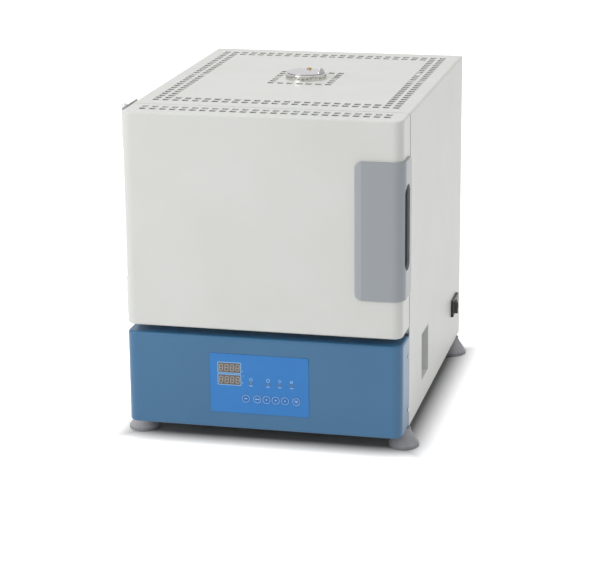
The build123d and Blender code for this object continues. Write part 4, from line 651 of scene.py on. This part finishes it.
# Mains switch, rocker, toggle and gland: black thermoplastic, satin, with a fine
# moulded grain.
black, tree, shader, place = start("moulded_black_polycarbonate", "#17181A", Roughness=0.34)
grain = add(tree, "ShaderNodeTexNoise", {"Vector": place, "Scale": 1 / (0.71429 * mm), "Detail": 2.0})
show(shader, grain, gloss=(0.28, 0.42), relief=(0.15, 0.08 * mm))
dress(black, "mains_switch", "switch_rocker", "breaker_toggle", "cable_gland")

# Marks on the rocker: white pad-printed signs for on and off, a bar on the half that
# stands out and a ring on the half that is pressed in. Places and sizes are in mm.
mark_ink, tree, shader, place = start("white_pad_print", "#DADAD6", Roughness=0.5)
uneven = add(tree, "ShaderNodeTexNoise", {"Vector": place, "Scale": 1 / (1.1111 * mm), "Detail": 2.0})
show(shader, uneven, gloss=(0.44, 0.56))
off_mark = ("rocker_off_mark", (230.42, 226.0, 104.0), 0.0, ring(0, 0, 3.2, 2.4, 32))
on_mark = ("rocker_on_mark", (233.46, 204.4, 104.0), radians(15.7), [bar_loop(0, 0, 1.0, 6.4, 0.4)])
for name, middle, slope, mark in (off_mark, on_mark):
    stand = Matrix.Translation(Vector(middle) * mm) @ Matrix.Rotation(pi / 2 + slope, 4, "Z")
    print_on(name, [mark], 0.0, mark_ink, "rocker_body", stand)

# Fan: frame and rotor moulded in black polybutylene, with the faint gloss drift that
# the flow of the moulding leaves.
fan_black, tree, shader, place = start("moulded_fan_black", "#1E1F20", Roughness=0.4)
flow = add(tree, "ShaderNodeTexNoise", {"Vector": place, "Scale": 1 / (16.667 * mm), "Detail": 3.0})
show(shader, flow, gloss=(0.32, 0.5))
dress(fan_black, "fan_frame", "fan_rotor")

# Wiring: silicone-coated glass braid sleeving, cream, with the strands of the braid
# about 1 mm apart.
sleeve, tree, shader, place = start("glass_braid_sleeving", "#D9D2C0", Roughness=0.8)
braid = add(tree, "ShaderNodeTexVoronoi", {"Vector": place, "Scale": 1 / (1.0 * mm)}).outputs["Distance"]
show(shader, braid, colours=("#E2DCCB", "#B9B19C"), relief=(0.4, -0.2 * mm))
dress(sleeve, "wiring")

# Case screws: bright chromed pan heads with a cross recess, four through the
# fascia's sides and eight round the rear panel.
chrome, tree, shader, place = start("bright_chrome_plate", "#AFB0B3", Metallic=1.0, Roughness=0.2)
smear = add(tree, "ShaderNodeTexNoise", {"Vector": place, "Scale": 1 / (3.3333 * mm), "Detail": 2.0})
show(shader, smear, gloss=(0.12, 0.24))
tree, given = geometry_tree(
    "cross_head_screws", "Head Radius", "Head Height", "Dome", "Recess Width", "Recess Reach",
    "Recess Depth", "Shank Radius", "Shank Length")
head = add(tree, "GeometryNodeMeshCylinder", {
    "Vertices": 32, "Side Segments": 2, "Fill Segments": 9,
    "Radius": given["Head Radius"], "Depth": given["Head Height"]})
half = add(tree, "ShaderNodeMath", {0: given["Head Height"], 1: 0.5}, operation="MULTIPLY")
lift = add(tree, "ShaderNodeCombineXYZ", {"Z": half})
head = add(tree, "GeometryNodeTransform", {"Geometry": head, "Translation": lift})
spot = add(tree, "ShaderNodeSeparateXYZ", {0: add(tree, "GeometryNodeInputPosition")}).outputs
square_x = add(tree, "ShaderNodeMath", {0: spot["X"], 1: spot["X"]}, operation="MULTIPLY")
square = add(tree, "ShaderNodeMath", {0: spot["Y"], 1: spot["Y"], 2: square_x}, operation="MULTIPLY_ADD")
edge = add(tree, "ShaderNodeMath", {0: given["Head Radius"], 1: 2.0}, operation="POWER")
share = add(tree, "ShaderNodeMath", {0: square, 1: edge}, operation="DIVIDE")
sink = add(tree, "ShaderNodeMath", {0: share, 1: given["Dome"]}, operation="MULTIPLY")
off_x = add(tree, "ShaderNodeMath", {0: spot["X"]}, operation="ABSOLUTE")
off_y = add(tree, "ShaderNodeMath", {0: spot["Y"]}, operation="ABSOLUTE")
nearer = add(tree, "ShaderNodeMath", {0: off_x, 1: off_y}, operation="MINIMUM")
in_arm = add(tree, "ShaderNodeMath", {0: nearer, 1: given["Recess Width"]}, operation="LESS_THAN")
limit = add(tree, "ShaderNodeMath", {0: given["Recess Reach"], 1: 2.0}, operation="POWER")
in_reach = add(tree, "ShaderNodeMath", {0: square, 1: limit}, operation="LESS_THAN")
cut = add(tree, "ShaderNodeMath", {0: in_arm, 1: in_reach}, operation="MULTIPLY")
cut = add(tree, "ShaderNodeMath", {0: cut, 1: given["Recess Depth"], 2: sink}, operation="MULTIPLY_ADD")
drop = add(tree, "ShaderNodeMath", {0: cut, 1: -1.0}, operation="MULTIPLY")
drop = add(tree, "ShaderNodeCombineXYZ", {"Z": drop})
on_top = add(tree, "ShaderNodeMath", {0: spot["Z"], 1: half}, operation="GREATER_THAN")
head = add(tree, "GeometryNodeSetPosition", {"Geometry": head, "Selection": on_top, "Offset": drop})
shank = add(tree, "GeometryNodeMeshCylinder", {
    "Vertices": 20, "Radius": given["Shank Radius"], "Depth": given["Shank Length"]})
down = add(tree, "ShaderNodeMath", {0: given["Shank Length"], 1: -0.5}, operation="MULTIPLY")
down = add(tree, "ShaderNodeCombineXYZ", {"Z": down})
shank = add(tree, "GeometryNodeTransform", {"Geometry": shank, "Translation": down})
screw = add(tree, "GeometryNodeJoinGeometry")
tree.links.new(head.outputs[0], screw.inputs[0])
tree.links.new(shank.outputs[0], screw.inputs[0])
facing = add(tree, "GeometryNodeInputNamedAttribute", {"Name": "facing"}, data_type="FLOAT_VECTOR")
turned = add(tree, "FunctionNodeAlignRotationToVector", {"Vector": facing}, axis="Z")
placed = add(tree, "GeometryNodeInstanceOnPoints", {
    "Points": given[0], "Instance": screw, "Rotation": turned})
close_tree(tree, placed, given["Material"])

fascia_screw_x, fascia_screw_y, fascia_screw_zs = 225.0, -250.0, (63.5, 153.5)
rear_screw_x, rear_screw_y, rear_screws, rear_lowest, rear_highest = 215.5, 285.0, 4, 77.0, 514.0
spots, faces_to = [], []
for way in (-1, 1):
    for z in fascia_screw_zs:
        spots.append((way * fascia_screw_x * mm, fascia_screw_y * mm, z * mm))
        faces_to.append((way, 0, 0))
    for step in range(rear_screws):
        z = rear_lowest + step * (rear_highest - rear_lowest) / (rear_screws - 1)
        spots.append((way * rear_screw_x * mm, rear_screw_y * mm, z * mm))
        faces_to.append((0, 1, 0))
points = bpy.data.meshes.new("screw_points")
points.from_pydata(spots, [], [])
attribute = points.attributes.new("facing", "FLOAT_VECTOR", "POINT")
for item, value in zip(attribute.data, faces_to):
    item.vector = value
screws = bake(put("screw_points", points), tree, {
    "Head Radius": 3.6 * mm, "Head Height": 2.0 * mm, "Dome": 0.9 * mm, "Recess Width": 0.45 * mm,
    "Recess Reach": 2.3 * mm, "Recess Depth": 0.9 * mm, "Shank Radius": 2.0 * mm,
    "Shank Length": 8.0 * mm, "Material": chrome,
}, "cross_head_screws")
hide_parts("case_screws")
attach(screws, "cabinet")
